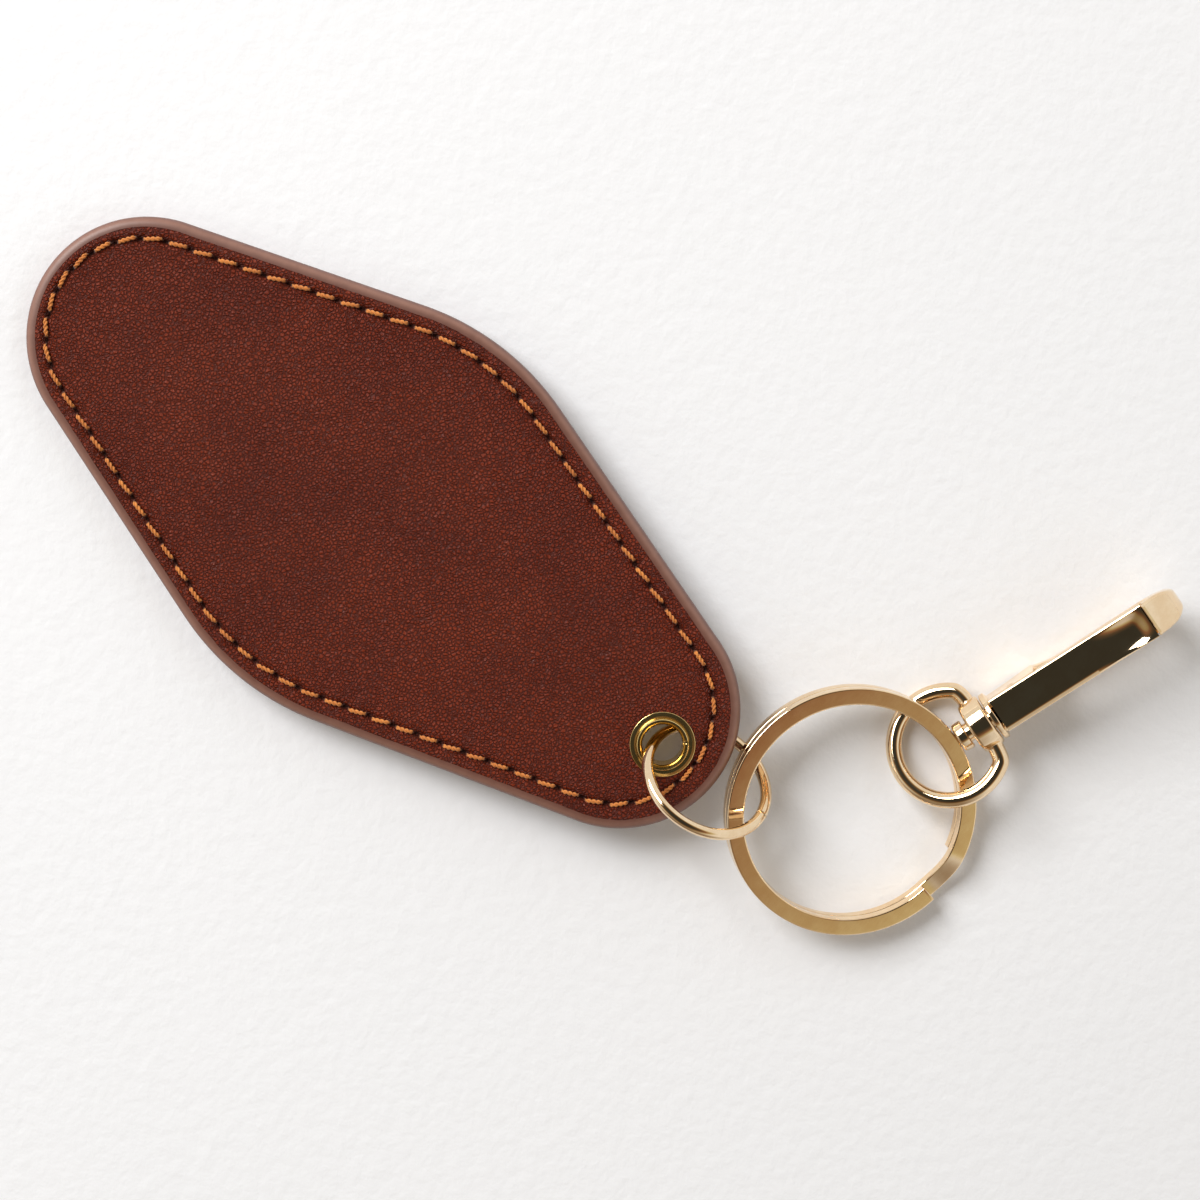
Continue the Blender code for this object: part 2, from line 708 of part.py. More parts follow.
def make_gate(frame):
    """A channel open below, with a root that turns on the rivet between the cheeks."""
    x, z = RIVET_PLACE
    axis = empty("gate_axis", (x, 0.0, z), parent=frame)
    gate = slab("gate", gate_outline(), HOOK_WIDTH / 2.0, "pale_gold", axis)
    gate.location = (-x, 0.0, -z)
    bevel(gate, GATE_EDGE)
    root_half = SLOT_WIDTH / 2.0 - GATE_GAP
    root_radius = z - SLOT_FLOOR - 3.0 * GATE_GAP
    root_top = gate_top(x) - GATE_WEB / 2.0
    cavity_start = BLOCK_END + 3.0 * GATE_GAP + GATE_WALL
    root_outline = arc((x, z), min(root_radius, x - SLOT_START - GATE_GAP), 180.0, 330.0, 8)
    root_outline += [
        (cavity_start, gate_top(x) - GATE_DEPTH + GATE_EDGE),
        (cavity_start, root_top),
        (root_outline[0][0], root_top),
    ]
    root = slab("gate_root", root_outline, root_half, "pale_gold", frame)
    cavity_end = HOOK_LENGTH - NOSE_START - GATE_WALL - GATE_GAP
    cavity = slab(
        "gate_cavity",
        [
            (cavity_start, gate_top(cavity_start) - GATE_WEB),
            (cavity_start, gate_top(cavity_start) - 2.0 * GATE_DEPTH),
            (cavity_end, gate_top(cavity_end) - 2.0 * GATE_DEPTH),
            (cavity_end, gate_top(cavity_end) - GATE_WEB),
        ],
        HOOK_WIDTH / 2.0 - GATE_WALL,
        "pale_gold",
        frame,
    )
    half_length = SCOOP_LENGTH / 2.0
    scoop_radius = (half_length**2 + GATE_SCOOP**2) / (2.0 * GATE_SCOOP)
    scoop_x = cavity_end - half_length
    scoop_z = gate_top(scoop_x) + scoop_radius - GATE_SCOOP
    scoop_outline = arc((scoop_x, scoop_z), scoop_radius, 0.0, 357.0, 119)
    scoop = slab("gate_scoop", scoop_outline, SCOOP_WIDTH / 2.0, "pale_gold", frame)
    cut(gate, cavity)
    cut(gate, root, "UNION")
    cut(gate, scoop)
    cut(gate, rivet_bore("gate_rivet_bore", frame))


def make_rivet(frame):
    """The gate's hinge pin, flush with the cheeks."""
    bm = bmesh.new()
    bmesh.ops.create_cone(
        bm, cap_ends=True, segments=20, radius1=RIVET_RADIUS, radius2=RIVET_RADIUS, depth=HOOK_WIDTH
    )
    obj = new_object("gate_rivet", bm, "pale_gold", frame)
    x, z = RIVET_PLACE
    obj.matrix_local = Matrix.Translation((x, 0.0, z)) @ Matrix.Rotation(math.pi / 2.0, 4, "X")


def make_spring(frame):
    """A leaf from the slot's floor up under the gate's web."""
    foot = SLOT_FLOOR + GATE_GAP
    bend = BLOCK_END - 0.6 * MM
    tip = BLOCK_END + 4.5 * MM
    tip_z = gate_top(tip) - GATE_WEB - GATE_GAP
    middle = 0.5 * (bend + tip)
    lower = [(RIVET_PLACE[0] + 0.6 * MM, foot), (bend, foot), (middle, 0.5 * (foot + tip_z) - 0.5 * MM)]
    lower += [(tip, tip_z - SPRING_THICKNESS)]
    upper = [(x - 0.05 * MM, z + SPRING_THICKNESS) for x, z in reversed(lower)]
    slab("gate_spring", lower + upper, SPRING_WIDTH / 2.0, "spring_steel", frame)


def build():
    clear_scene()
    make_board()
    make_leather("front_leather", True)
    make_leather("back_leather", False)
    make_edge_paint()
    make_thread("front_stitching", True)
    make_thread("back_stitching", False)
    make_eyelet()
    make_washer()
    jump_axis = empty("jump_ring_axis", (EYELET_X, 0.0, FOB_THICKNESS / 2.0))
    make_jump_ring(jump_axis)
    split_axis = empty("split_ring_axis", split_ring_link() - jump_axis.location, parent=jump_axis)
    make_split_ring(split_axis)
    eye_axis = empty("swivel_eye_axis", eye_link() - split_ring_link(), parent=split_axis)
    make_swivel_eye(eye_axis)
    along = hook_turn(0.0) @ Vector((flange_face(), 0.0, 0.0))
    hook_place = eye_centre() - eye_link() + along
    hook_frame = empty("hook_axis", hook_place, hook_turn(HOOK_ROLL), eye_axis)
    make_pin(hook_frame)
    make_hook(hook_frame)
    make_rivet(hook_frame)
    make_gate(hook_frame)
    make_spring(hook_frame)


build()
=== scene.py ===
"""Looks of a stitched leather key fob with an eyelet, a jump ring, a split ring and a swivel
hook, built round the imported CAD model.

Every piece stays in the model's own frame: metres, the origin on the fob's back face, +X
along the fob to the eyelet and +Z up through its front face.
"""

import json
import math

import bmesh
import bpy
from mathutils import Matrix, Vector, noise


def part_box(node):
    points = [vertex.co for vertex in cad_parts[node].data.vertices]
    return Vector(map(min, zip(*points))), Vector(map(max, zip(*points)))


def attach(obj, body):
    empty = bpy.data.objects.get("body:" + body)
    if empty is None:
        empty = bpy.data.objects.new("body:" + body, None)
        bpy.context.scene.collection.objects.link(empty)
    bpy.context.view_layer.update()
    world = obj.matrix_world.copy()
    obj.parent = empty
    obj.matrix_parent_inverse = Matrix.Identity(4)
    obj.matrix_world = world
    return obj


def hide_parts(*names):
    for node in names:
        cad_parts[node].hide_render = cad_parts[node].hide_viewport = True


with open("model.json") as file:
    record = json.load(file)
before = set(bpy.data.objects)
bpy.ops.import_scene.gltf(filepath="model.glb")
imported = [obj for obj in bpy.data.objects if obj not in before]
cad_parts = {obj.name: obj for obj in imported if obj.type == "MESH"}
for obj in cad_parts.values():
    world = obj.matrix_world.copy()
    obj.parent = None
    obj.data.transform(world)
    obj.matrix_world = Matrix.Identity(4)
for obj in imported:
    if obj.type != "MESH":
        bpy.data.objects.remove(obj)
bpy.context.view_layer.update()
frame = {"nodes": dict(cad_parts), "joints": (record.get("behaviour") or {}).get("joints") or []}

MM = 0.001

# Fob
FOB_LENGTH = 100.0 * MM
FOB_WIDTH = 50.5 * MM
END_RADIUS = 14.5 * MM
SIDE_RADIUS = 32.0 * MM
WAIST_SHIFT = -1.9 * MM
TOP = 2.7 * MM  # height of the front face
MIDDLE = TOP / 2.0
LEATHER = 1.0 * MM
RIM_STEP = 0.36 * MM  # spacing of the mesh along the fob's edge

# Painted edge
PAINT_SHOULDER = 1.25 * MM
PAINT_LIP = 0.16 * MM
PAINT_WAVE = 0.05 * MM

# Stitching
STITCH_INSET = 2.9 * MM
STITCH_SHIFT = -0.5 * MM
STITCH_PITCH = 3.05 * MM
STITCH_LENGTH = 2.5 * MM
STRAND = 0.155 * MM
PLY_OFFSET = 0.13 * MM
PLY_TURN = 1.15 * MM
STITCH_SLANT = 6.0  # degrees from the line of stitching
STITCH_RISE = 0.2 * MM
STITCH_DIVE = 0.62 * MM

# Leather relief
HOLE_DEPTH = 0.5 * MM
HOLE_RADIUS = 0.33 * MM
GROOVE_DEPTH = 0.16 * MM
PUCKER = 0.12 * MM
MARGIN_SWELL = 0.10 * MM
UNDULATION = 0.05 * MM

# Eyelet
EYELET_X = 42.0 * MM
BORE_RADIUS = 2.45 * MM
RIM_ROLL = 0.36 * MM
WASHER_RADIUS = 3.95 * MM

# Rings
JUMP_RADIUS = 7.7 * MM
JUMP_WIRE = 0.7 * MM
JUMP_TILT = 49.0
JUMP_HEADING = 100.0
JUMP_SEAM = 2.0
SPLIT_MEAN = 14.475 * MM
SPLIT_BAND = 2.05 * MM
SPLIT_HEIGHT = 1.36 * MM
SPLIT_PITCH = 1.44 * MM
SPLIT_CROSSOVER = 24.0
SPLIT_END = -8.5
SPLIT_CORNER = 0.2 * MM
END_EASE = 0.08 * MM  # the cut ends of both rings' wire
END_SCALE = 0.86

# Swivel eye and pin, along the swivel axis from the eye's centre
EYE_RADIUS = 6.65 * MM
EYE_WIRE = 1.0 * MM
EYE_TURN_IN = 52.0  # degrees from the swivel axis, where the wire leaves its circle
EYE_END = 2.2 * MM  # the wire's ends stop this far from the axis, inside the collar
EYE_ROLL = -14.6  # degrees about the swivel axis, from the hook
COLLAR_FRONT = 6.05 * MM
COLLAR_BACK = 3.35 * MM
COLLAR_RADIUS = 3.3 * MM
PIN_BORE = 1.35 * MM
FLANGE_AT = 6.25 * MM
PIN_HEAD_BACK = 1.35 * MM
PIN_HEAD_FRONT = 2.75 * MM
PIN_HEAD_RADIUS = 1.85 * MM
PIN_RADIUS = 1.2 * MM
PIN_END = 1.5 * MM  # past the flange

# Hook, from its flange along the swivel axis
HOOK_LENGTH = 26.3 * MM
HOOK_HALF = 2.2 * MM
SPINE_HALF = 1.5 * MM
SPINE_LOW = -5.3 * MM
SPINE_HIGH = -3.2 * MM
BLOCK_LOW = -3.2 * MM
BLOCK_TOP = 1.9 * MM
NOSE_RADIUS = 4.9 * MM
NOSE_INNER = 2.6 * MM
NOSE_X = HOOK_LENGTH - NOSE_RADIUS
NOSE_FACE = 22.02 * MM
NOSE_TOP = 4.86 * MM
SLOPE_FROM = 40.0  # degrees round the nose
SLOPE_TO = 82.0
GATE_START = 0.92 * MM
GATE_END = 21.88 * MM
GATE_LOW_TOP = 2.9 * MM
GATE_RISE = 1.4 / 22.0
WEB = 0.75 * MM
GATE_DEPTH = 1.6 * MM
SLOT_HALF = 1.4 * MM
SLOT_START = 2.0 * MM
SLOT_END = 8.6 * MM
SLOT_FLOOR = -1.7 * MM
SLOT_OPEN = 6.0 * MM  # above everything that the slot cuts
ROOT_HALF = 1.28 * MM
ROOT_RADIUS = 1.8 * MM
ROOT_END = 8.5 * MM
TONGUE_START = 21.5 * MM
TONGUE_END = 22.9 * MM
RIVET_RADIUS = 0.6 * MM
RIVET_EASED = 0.42 * MM
RIVET = Vector((4.0, 0.0, 0.5)) * MM
SCOOP_START = 13.2 * MM
SCOOP_DEPTH = 0.46 * MM

FLOOR_SLOPE = -0.0374


# ---------------------------------------------------------------- shader nodes


class Wire:
    """A value in a shader that takes part in arithmetic."""

    def __init__(self, finish, socket):
        self.finish = finish
        self.socket = socket

    def math(self, operation, first, second=None):
        sockets = {0: first}
        if second is not None:
            sockets[1] = second
        return self.finish.add("ShaderNodeMath", {"operation": operation}, sockets)

    def __add__(self, other):
        return self.math("ADD", self, other)

    def __radd__(self, other):
        return self.math("ADD", other, self)

    def __sub__(self, other):
        return self.math("SUBTRACT", self, other)

    def __rsub__(self, other):
        return self.math("SUBTRACT", other, self)

    def __mul__(self, other):
        return self.math("MULTIPLY", self, other)

    def __rmul__(self, other):
        return self.math("MULTIPLY", other, self)

    def clamped(self):
        return self.finish.add("ShaderNodeClamp", {}, {"Value": self})

    def above(self, low, high):
        """0 below low, 1 above high, and smooth between."""
        settings = {"interpolation_type": "SMOOTHSTEP"}
        sockets = {"Value": self, "From Min": low, "From Max": high}
        return self.finish.add("ShaderNodeMapRange", settings, sockets)


class Finish:
    """A material whose nodes are written as expressions."""

    def __init__(self, name, **uniform):
        self.material = bpy.data.materials.new(name)
        self.material.use_nodes = True
        self.tree = self.material.node_tree
        self.shader = self.tree.nodes["Principled BSDF"]
        self.set(**uniform)

    def put(self, socket, value):
        if isinstance(value, Wire):
            self.tree.links.new(value.socket, socket)
        elif isinstance(value, tuple) and len(value) == 3 and socket.type == "RGBA":
            socket.default_value = (*value, 1.0)
        else:
            socket.default_value = value

    def add(self, kind, settings, sockets, output=0):
        node = self.tree.nodes.new(kind)
        for key, value in settings.items():
            if key == "stops":
                ramp(node, value)
            else:
                setattr(node, key, value)
        for key, value in sockets.items():
            self.put(node.inputs[key], value)
        return Wire(self, node.outputs[output])

    def place(self):
        """The row frame's own coordinates in millimetres."""
        where = self.add("ShaderNodeTexCoord", {}, {}, "Object")
        return self.add("ShaderNodeMapping", {}, {"Vector": where, "Scale": (1.0 / MM,) * 3})

    def noise(self, scale, detail=2.0, roughness=0.5, stretch=None):
        """Noise with scale features to the millimetre."""
        where = self.place()
        if stretch:
            where = self.add("ShaderNodeMapping", {}, {"Vector": where, "Scale": stretch})
        sockets = {"Vector": where, "Scale": scale, "Detail": detail, "Roughness": roughness}
        return self.add("ShaderNodeTexNoise", {}, sockets)

    def cells(self, where, scale, feature, randomness):
        sockets = {"Vector": where, "Scale": scale, "Randomness": randomness}
        return self.add("ShaderNodeTexVoronoi", {"feature": feature}, sockets)

    def attribute(self, name):
        return self.add("ShaderNodeAttribute", {"attribute_name": name}, {}, "Fac")

    def mix(self, factor, first, second):
        sockets = {0: factor, 6: first, 7: second}
        return self.add("ShaderNodeMix", {"data_type": "RGBA"}, sockets, 2)

    def bump(self, height, depth, strength=1.0):
        sockets = {"Height": height, "Distance": depth, "Strength": strength}
        return self.add("ShaderNodeBump", {}, sockets)

    def set(self, **sockets):
        for socket, value in sockets.items():
            self.put(self.shader.inputs[socket.replace("_", " ")], value)

    def made(self, **sockets):
        """The material, with its last sockets set."""
        self.set(**sockets)
        return self.material


class Sky(Finish):
    """The world, its nodes written in the same way."""

    def __init__(self, name):
        self.world = bpy.data.worlds.new(name)
        self.world.use_nodes = True
        self.tree = self.world.node_tree
        self.shader = self.tree.nodes["Background"]

    def toward(self, direction):
        """How far each direction of the world points toward this one, 1 at most."""
        where = self.add("ShaderNodeTexCoord", {}, {}, "Generated")
        settings = {"operation": "DOT_PRODUCT"}
        return self.add("ShaderNodeVectorMath", settings, {0: where, 1: direction}, "Value")

    def shades(self, value, stops):
        return self.add("ShaderNodeValToRGB", {"stops": stops}, {"Fac": value})


def ramp(node, stops):
    elements = node.color_ramp.elements
    for _ in range(len(stops) - 2):
        elements.new(0.5)
    for element, (position, colour) in zip(elements, stops):
        element.position = position
        element.color = (*colour, 1.0)


def leather_finish():
    """Dark red-brown pebbled hide with a soft sheen, with painted shade in the creases between
    pebbles and where it is pressed in.
    """
    finish = Finish("pebbled leather", Specular_IOR_Level=0.24)
    wobble = finish.noise(1.6, 1.0) * 0.3
    where = finish.place()
    shifted = finish.add("ShaderNodeVectorMath", {"operation": "ADD"}, {0: where, 1: wobble})
    pebbles = finish.cells(shifted, 2.3, "DISTANCE_TO_EDGE", 0.95).above(0.0, 0.26)
    small = finish.cells(shifted, 5.2, "F1", 1.0)
    fine = finish.noise(9.0, 3.0, 0.6)
    broad = finish.noise(0.09, 3.0, 0.55)
    patches = finish.noise(0.55, 3.0, 0.6)
    hollow = finish.attribute("hollow")
    tone = (broad + patches * 0.5 - 0.35).clamped()
    hide = finish.mix(tone, (0.115, 0.0110, 0.0018), (0.270, 0.0360, 0.0075))
    # painted shade: darker in the creases between the pebbles
    crease_shaded = finish.mix((pebbles * 0.8 + small * 0.4).clamped(), (0.048, 0.005, 0.001), hide)
    # painted shade: near black in the stitch holes, along the groove and in the crease beside the
    # paint
    colour = finish.mix((hollow * 0.8).clamped(), crease_shaded, (0.006, 0.002, 0.001))
    height = pebbles * 0.8 + small * 0.3 + fine * 0.3
    return finish.made(
        Base_Color=colour,
        Roughness=0.32 + patches * 0.1 + hollow * 0.3,
        Normal=finish.bump(height, 0.2 * MM),
    )


def edge_paint_finish():
    """Brown edge paint: satin, a little uneven, with a painted highlight on its rounded shoulders.
    """
    finish = Finish("edge paint", Specular_IOR_Level=0.5)
    streaks = finish.noise(0.8, 3.0, 0.6)
    fine = finish.noise(6.0, 2.0, 0.6)
    crown = finish.attribute("crown")
    paint = finish.mix(streaks, (0.105, 0.038, 0.026), (0.165, 0.070, 0.050))
    # painted highlight: lighter on the rounded shoulders of the paint
    colour = finish.mix((crown * (0.40 + streaks * 0.3)).clamped(), paint, (0.35, 0.185, 0.135))
    return finish.made(
        Base_Color=colour,
        Roughness=0.36 + fine * 0.12,
        Normal=finish.bump(streaks * 0.7 + fine * 0.3, 0.03 * MM, 0.5),
    )


def thread_finish():
    """Waxed golden-orange thread with fine fibres, some darker, dirtier stitches, and painted shade
    where it sinks into its holes.
    """
    finish = Finish("stitching thread", Specular_IOR_Level=0.35, Sheen_Weight=0.25)
    fibres = finish.noise(14.0, 2.0, 0.7)
    patches = finish.noise(0.35, 2.0)
    buried = finish.attribute("buried")
    tone = (fibres * 0.5 + patches * 0.9 - 0.2).clamped()
    thread = finish.mix(tone, (0.36, 0.085, 0.012), (0.82, 0.31, 0.055))
    # painted shade: the thread turns dark where it sinks into its holes
    colour = finish.mix(buried, thread, (0.055, 0.012, 0.003))
    return finish.made(
        Base_Color=colour,
        Roughness=0.55 + fibres * 0.15,
        Normal=finish.bump(fibres, 0.03 * MM, 0.6),
    )


def metal_finish(name, colour, deep, roughness):
    """Polished plate with faint scuffs and a slightly wavy surface."""
    finish = Finish(name, Metallic=1.0)
    wave = finish.noise(0.35, 2.0)
    scuffs = finish.noise(3.0, 3.0, 0.7, (1.0, 0.25, 1.0))
    tone = (wave * 0.7 + scuffs * 0.3).above(0.35, 0.7)
    return finish.made(
        Base_Color=finish.mix(tone, deep, colour),
        Roughness=roughness + scuffs.above(0.62, 0.85) * 0.09,
        Normal=finish.bump(wave, 0.02 * MM, 0.25),
    )


def board_finish():
    finish = Finish("fibre board", Roughness=0.8)
    fibres = finish.noise(2.5, 3.0, 0.7)
    colour = finish.mix(fibres, (0.16, 0.11, 0.07), (0.34, 0.26, 0.18))
    return finish.made(Base_Color=colour, Normal=finish.bump(fibres, 0.05 * MM))


def spring_finish():
    finish = Finish("spring steel", Metallic=1.0)
    drawn = finish.noise(5.0, 2.0, 0.6, (1.0, 0.2, 1.0))
    colour = finish.mix(drawn, (0.42, 0.42, 0.43), (0.62, 0.62, 0.63))
    return finish.made(Base_Color=colour, Roughness=0.22 + drawn * 0.15)


def floor_finish():
    """Plain pale card with a faint tooth."""
    finish = Finish("pale card", Roughness=0.85, Specular_IOR_Level=0.2)
    tooth = finish.noise(0.55, 4.0, 0.55)
    broad = finish.noise(0.02, 2.0)
    colour = finish.mix(broad, (0.885, 0.905, 0.935), (0.915, 0.93, 0.96))
    return finish.made(Base_Color=colour, Normal=finish.bump(tooth, 0.35 * MM, 0.35))


# ---------------------------------------------------------------- mesh tools


def piece(name, points, faces, material, smooth=40.0):
    """A mesh object with its normals outwards, smooth except at edges sharper than smooth."""
    mesh = bpy.data.meshes.new(name)
    mesh.from_pydata([tuple(point) for point in points], [], faces)
    bm = bmesh.new()
    bm.from_mesh(mesh)
    bmesh.ops.recalc_face_normals(bm, faces=bm.faces)
    bm.to_mesh(mesh)
    bm.free()
    mesh.shade_smooth()
    mesh.set_sharp_from_angle(angle=math.radians(smooth))
    mesh.materials.append(material)
    obj = bpy.data.objects.new(name, mesh)
    bpy.context.scene.collection.objects.link(obj)
    return obj


def loft(name, rings, material, closed=False, smooth=40.0):
    """Quads between equal rings of points, capped at both ends unless the loft is closed."""
    count = len(rings[0])
    points = [point for ring in rings for point in ring]
    faces = []
    spans = len(rings) if closed else len(rings) - 1
    for k in range(spans):
        here = k * count
        there = ((k + 1) % len(rings)) * count
        for i in range(count):
            j = (i + 1) % count
            faces.append((here + i, here + j, there + j, there + i))
    if not closed:
        faces.append(tuple(range(count)))
        faces.append(tuple(range(len(points) - count, len(points))))
    return piece(name, points, faces, material, smooth)


def mark(obj, name, values):
    """A number on each of the mesh's points, for its material to read."""
    layer = obj.data.attributes.new(name, "FLOAT", "POINT")
    layer.data.foreach_set("value", values)


def combined(obj, other, operation):
    """obj with another closed mesh added or cut away, which is then deleted."""
    modifier = obj.modifiers.new("combined", "BOOLEAN")
    modifier.operation = operation
    modifier.solver = "EXACT"
    modifier.object = other
    graph = bpy.context.evaluated_depsgraph_get()
    mesh = bpy.data.meshes.new_from_object(obj.evaluated_get(graph))
    obj.modifiers.clear()
    obj.data = mesh
    bpy.data.objects.remove(other, do_unlink=True)
    return obj


def arc(centre, radius, start, end, count):
    points = []
    for i in range(count + 1):
        angle = math.radians(start + (end - start) * i / count)
        points.append((centre[0] + radius * math.cos(angle), centre[1] + radius * math.sin(angle)))
    return points


def rounded_box(half_width, low, high, corner, count=5):
    """A closed section of (across, up) pairs with round corners."""
    section = arc((half_width - corner, high - corner), corner, 0.0, 90.0, count)
    section += arc((corner - half_width, high - corner), corner, 90.0, 180.0, count)
    section += arc((corner - half_width, low + corner), corner, 180.0, 270.0, count)
    section += arc((half_width - corner, low + corner), corner, 270.0, 360.0, count)
    return section


def turned(name, profile, material, turn=None, segments=128, smooth=40.0):
    """A closed profile of (along X, radius) pairs, clear of the axis, turned about X."""
    turn = turn or Matrix.Identity(4)
    rings = []
    for k in range(segments):
        angle = 2.0 * math.pi * k / segments
        ring = []
        for along, radius in profile:
            ring.append(turn @ Vector((along, radius * math.cos(angle), radius * math.sin(angle))))
        rings.append(ring)
    return loft(name, rings, material, True, smooth)


def rod(name, profile, material, turn, segments=64, smooth=40.0):
    """A solid turned about X from (along X, radius) pairs, with flat ends."""
    rings = []
    for along, radius in profile:
        ring = []
        for k in range(segments):
            angle = 2.0 * math.pi * k / segments
            ring.append(turn @ Vector((along, radius * math.cos(angle), radius * math.sin(angle))))
        rings.append(ring)
    return loft(name, rings, material, False, smooth)


def finished(obj, body, slot, *nodes):
    """The piece moves with its body and stands for its CAD nodes; slot is not used."""
    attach(obj, body)
    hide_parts(*nodes)
    return obj


def crisp(obj):
    """Flat faces stay flat up to their narrow rounded edges."""
    obj.modifiers.new("crisp flats", "WEIGHTED_NORMAL").keep_sharp = True
    return obj


def leaning(tilt, heading):
    turn = Matrix.Rotation(math.radians(heading), 4, "Z")
    return turn @ Matrix.Rotation(math.radians(tilt), 4, "Y") @ turn.inverted()


def joint(name):
    return next(entry for entry in frame["joints"] if entry["name"] == name)


# ---------------------------------------------------------------- the fob's outline


def tangent_angle(reach, drop):
    distance = math.hypot(reach, drop)
    return math.degrees(math.acos((SIDE_RADIUS - END_RADIUS) / distance) - math.atan2(drop, reach))


def rim():
    """Points on the fob's edge with their outward directions, evenly spaced all the way round."""
    reach = FOB_LENGTH / 2.0 - END_RADIUS
    drop = FOB_WIDTH / 2.0 - SIDE_RADIUS
    right = tangent_angle(reach - WAIST_SHIFT, drop)
    left = tangent_angle(reach + WAIST_SHIFT, drop)
    arcs = [
        ((reach, 0.0), END_RADIUS, -right, right),
        ((WAIST_SHIFT, drop), SIDE_RADIUS, right, 180.0 - left),
        ((-reach, 0.0), END_RADIUS, 180.0 - left, 180.0 + left),
        ((WAIST_SHIFT, -drop), SIDE_RADIUS, 180.0 + left, 360.0 - right),
    ]
    found = []
    for k, (centre, radius, start, end) in enumerate(arcs):
        steps = round(radius * math.radians(end - start) / RIM_STEP)
        for i in range(steps):
            angle = math.radians(start + (end - start) * i / steps)
            out = Vector((math.cos(angle), math.sin(angle)))
            found.append((Vector(centre) + out * radius, out))
        angle = math.radians(end)
        out = Vector((math.cos(angle), math.sin(angle)))
        here = Vector(centre) + out * radius
        after = arcs[(k + 1) % len(arcs)]
        there = Vector(after[0]) + out * after[1]
        steps = max(1, round((there - here).length / RIM_STEP))
        found += [(here.lerp(there, i / steps), out) for i in range(steps)]
    return found


RIM = rim()


def stitch_line():
    """The stitched line's points and their distances along it."""
    line = [edge - out * STITCH_INSET + Vector((STITCH_SHIFT, 0.0)) for edge, out in RIM]
    along = [0.0]
    for here, there in zip(line, line[1:] + line[:1]):
        along.append(along[-1] + (there - here).length)
    return line, along


LINE, ALONG = stitch_line()
STITCHES = round(ALONG[-1] / STITCH_PITCH)
PITCH = ALONG[-1] / STITCHES


def on_line(distance):
    """The point that far along the stitched line, and the direction of the line there."""
    distance %= ALONG[-1]
    low = 0
    high = len(LINE)
    while high - low > 1:
        half = (low + high) // 2
        if ALONG[half] <= distance:
            low = half
        else:
            high = half
    here = LINE[low]
    there = LINE[(low + 1) % len(LINE)]
    share = (distance - ALONG[low]) / (ALONG[low + 1] - ALONG[low])
    return here.lerp(there, share), (there - here).normalized()


# ---------------------------------------------------------------- leather faces


def bell(distance, width):
    return math.exp(-((distance / width) ** 2))


def relief(point, along, off):
    """(height over the plain face, how hollow it is) near the stitching. How hollow it is sets the
    painted shade in the stitch holes and the groove.

    along is the distance along the stitched line, and off how far outside it the point is.
    """
    phase = (along / PITCH) % 1.0
    to_hole = min(phase, 1.0 - phase) * PITCH
    wander = noise.noise(Vector((point.x, point.y, 7.0 * MM)) * 900.0)
    hole = bell(to_hole, HOLE_RADIUS * 1.25) * bell(off + 0.05 * MM, HOLE_RADIUS * 0.8)
    groove = bell(off, 0.42 * MM)
    swell = bell(off - 0.95 * MM, 0.55 * MM) + 0.6 * bell(off + 1.0 * MM, 0.6 * MM)
    crease = math.cos(2.0 * math.pi * phase + 0.9 * wander) * (bell(off, 1.15 * MM) - 0.7 * groove)
    height = MARGIN_SWELL * swell - GROOVE_DEPTH * groove - HOLE_DEPTH * hole
    height -= PUCKER * crease * (1.0 + 0.8 * wander)
    # the second value is the painted shade's strength: full in the stitch holes, a little along the
    # groove near them
    return height, min(1.0, 1.25 * hole + 0.25 * groove * bell(to_hole, 0.7 * MM))


def undulation(point):
    spot = Vector((point.x, point.y, 0.0))
    broad = noise.noise(spot * 85.0)
    small = noise.noise(spot * 420.0)
    return UNDULATION * (broad + 0.35 * small)


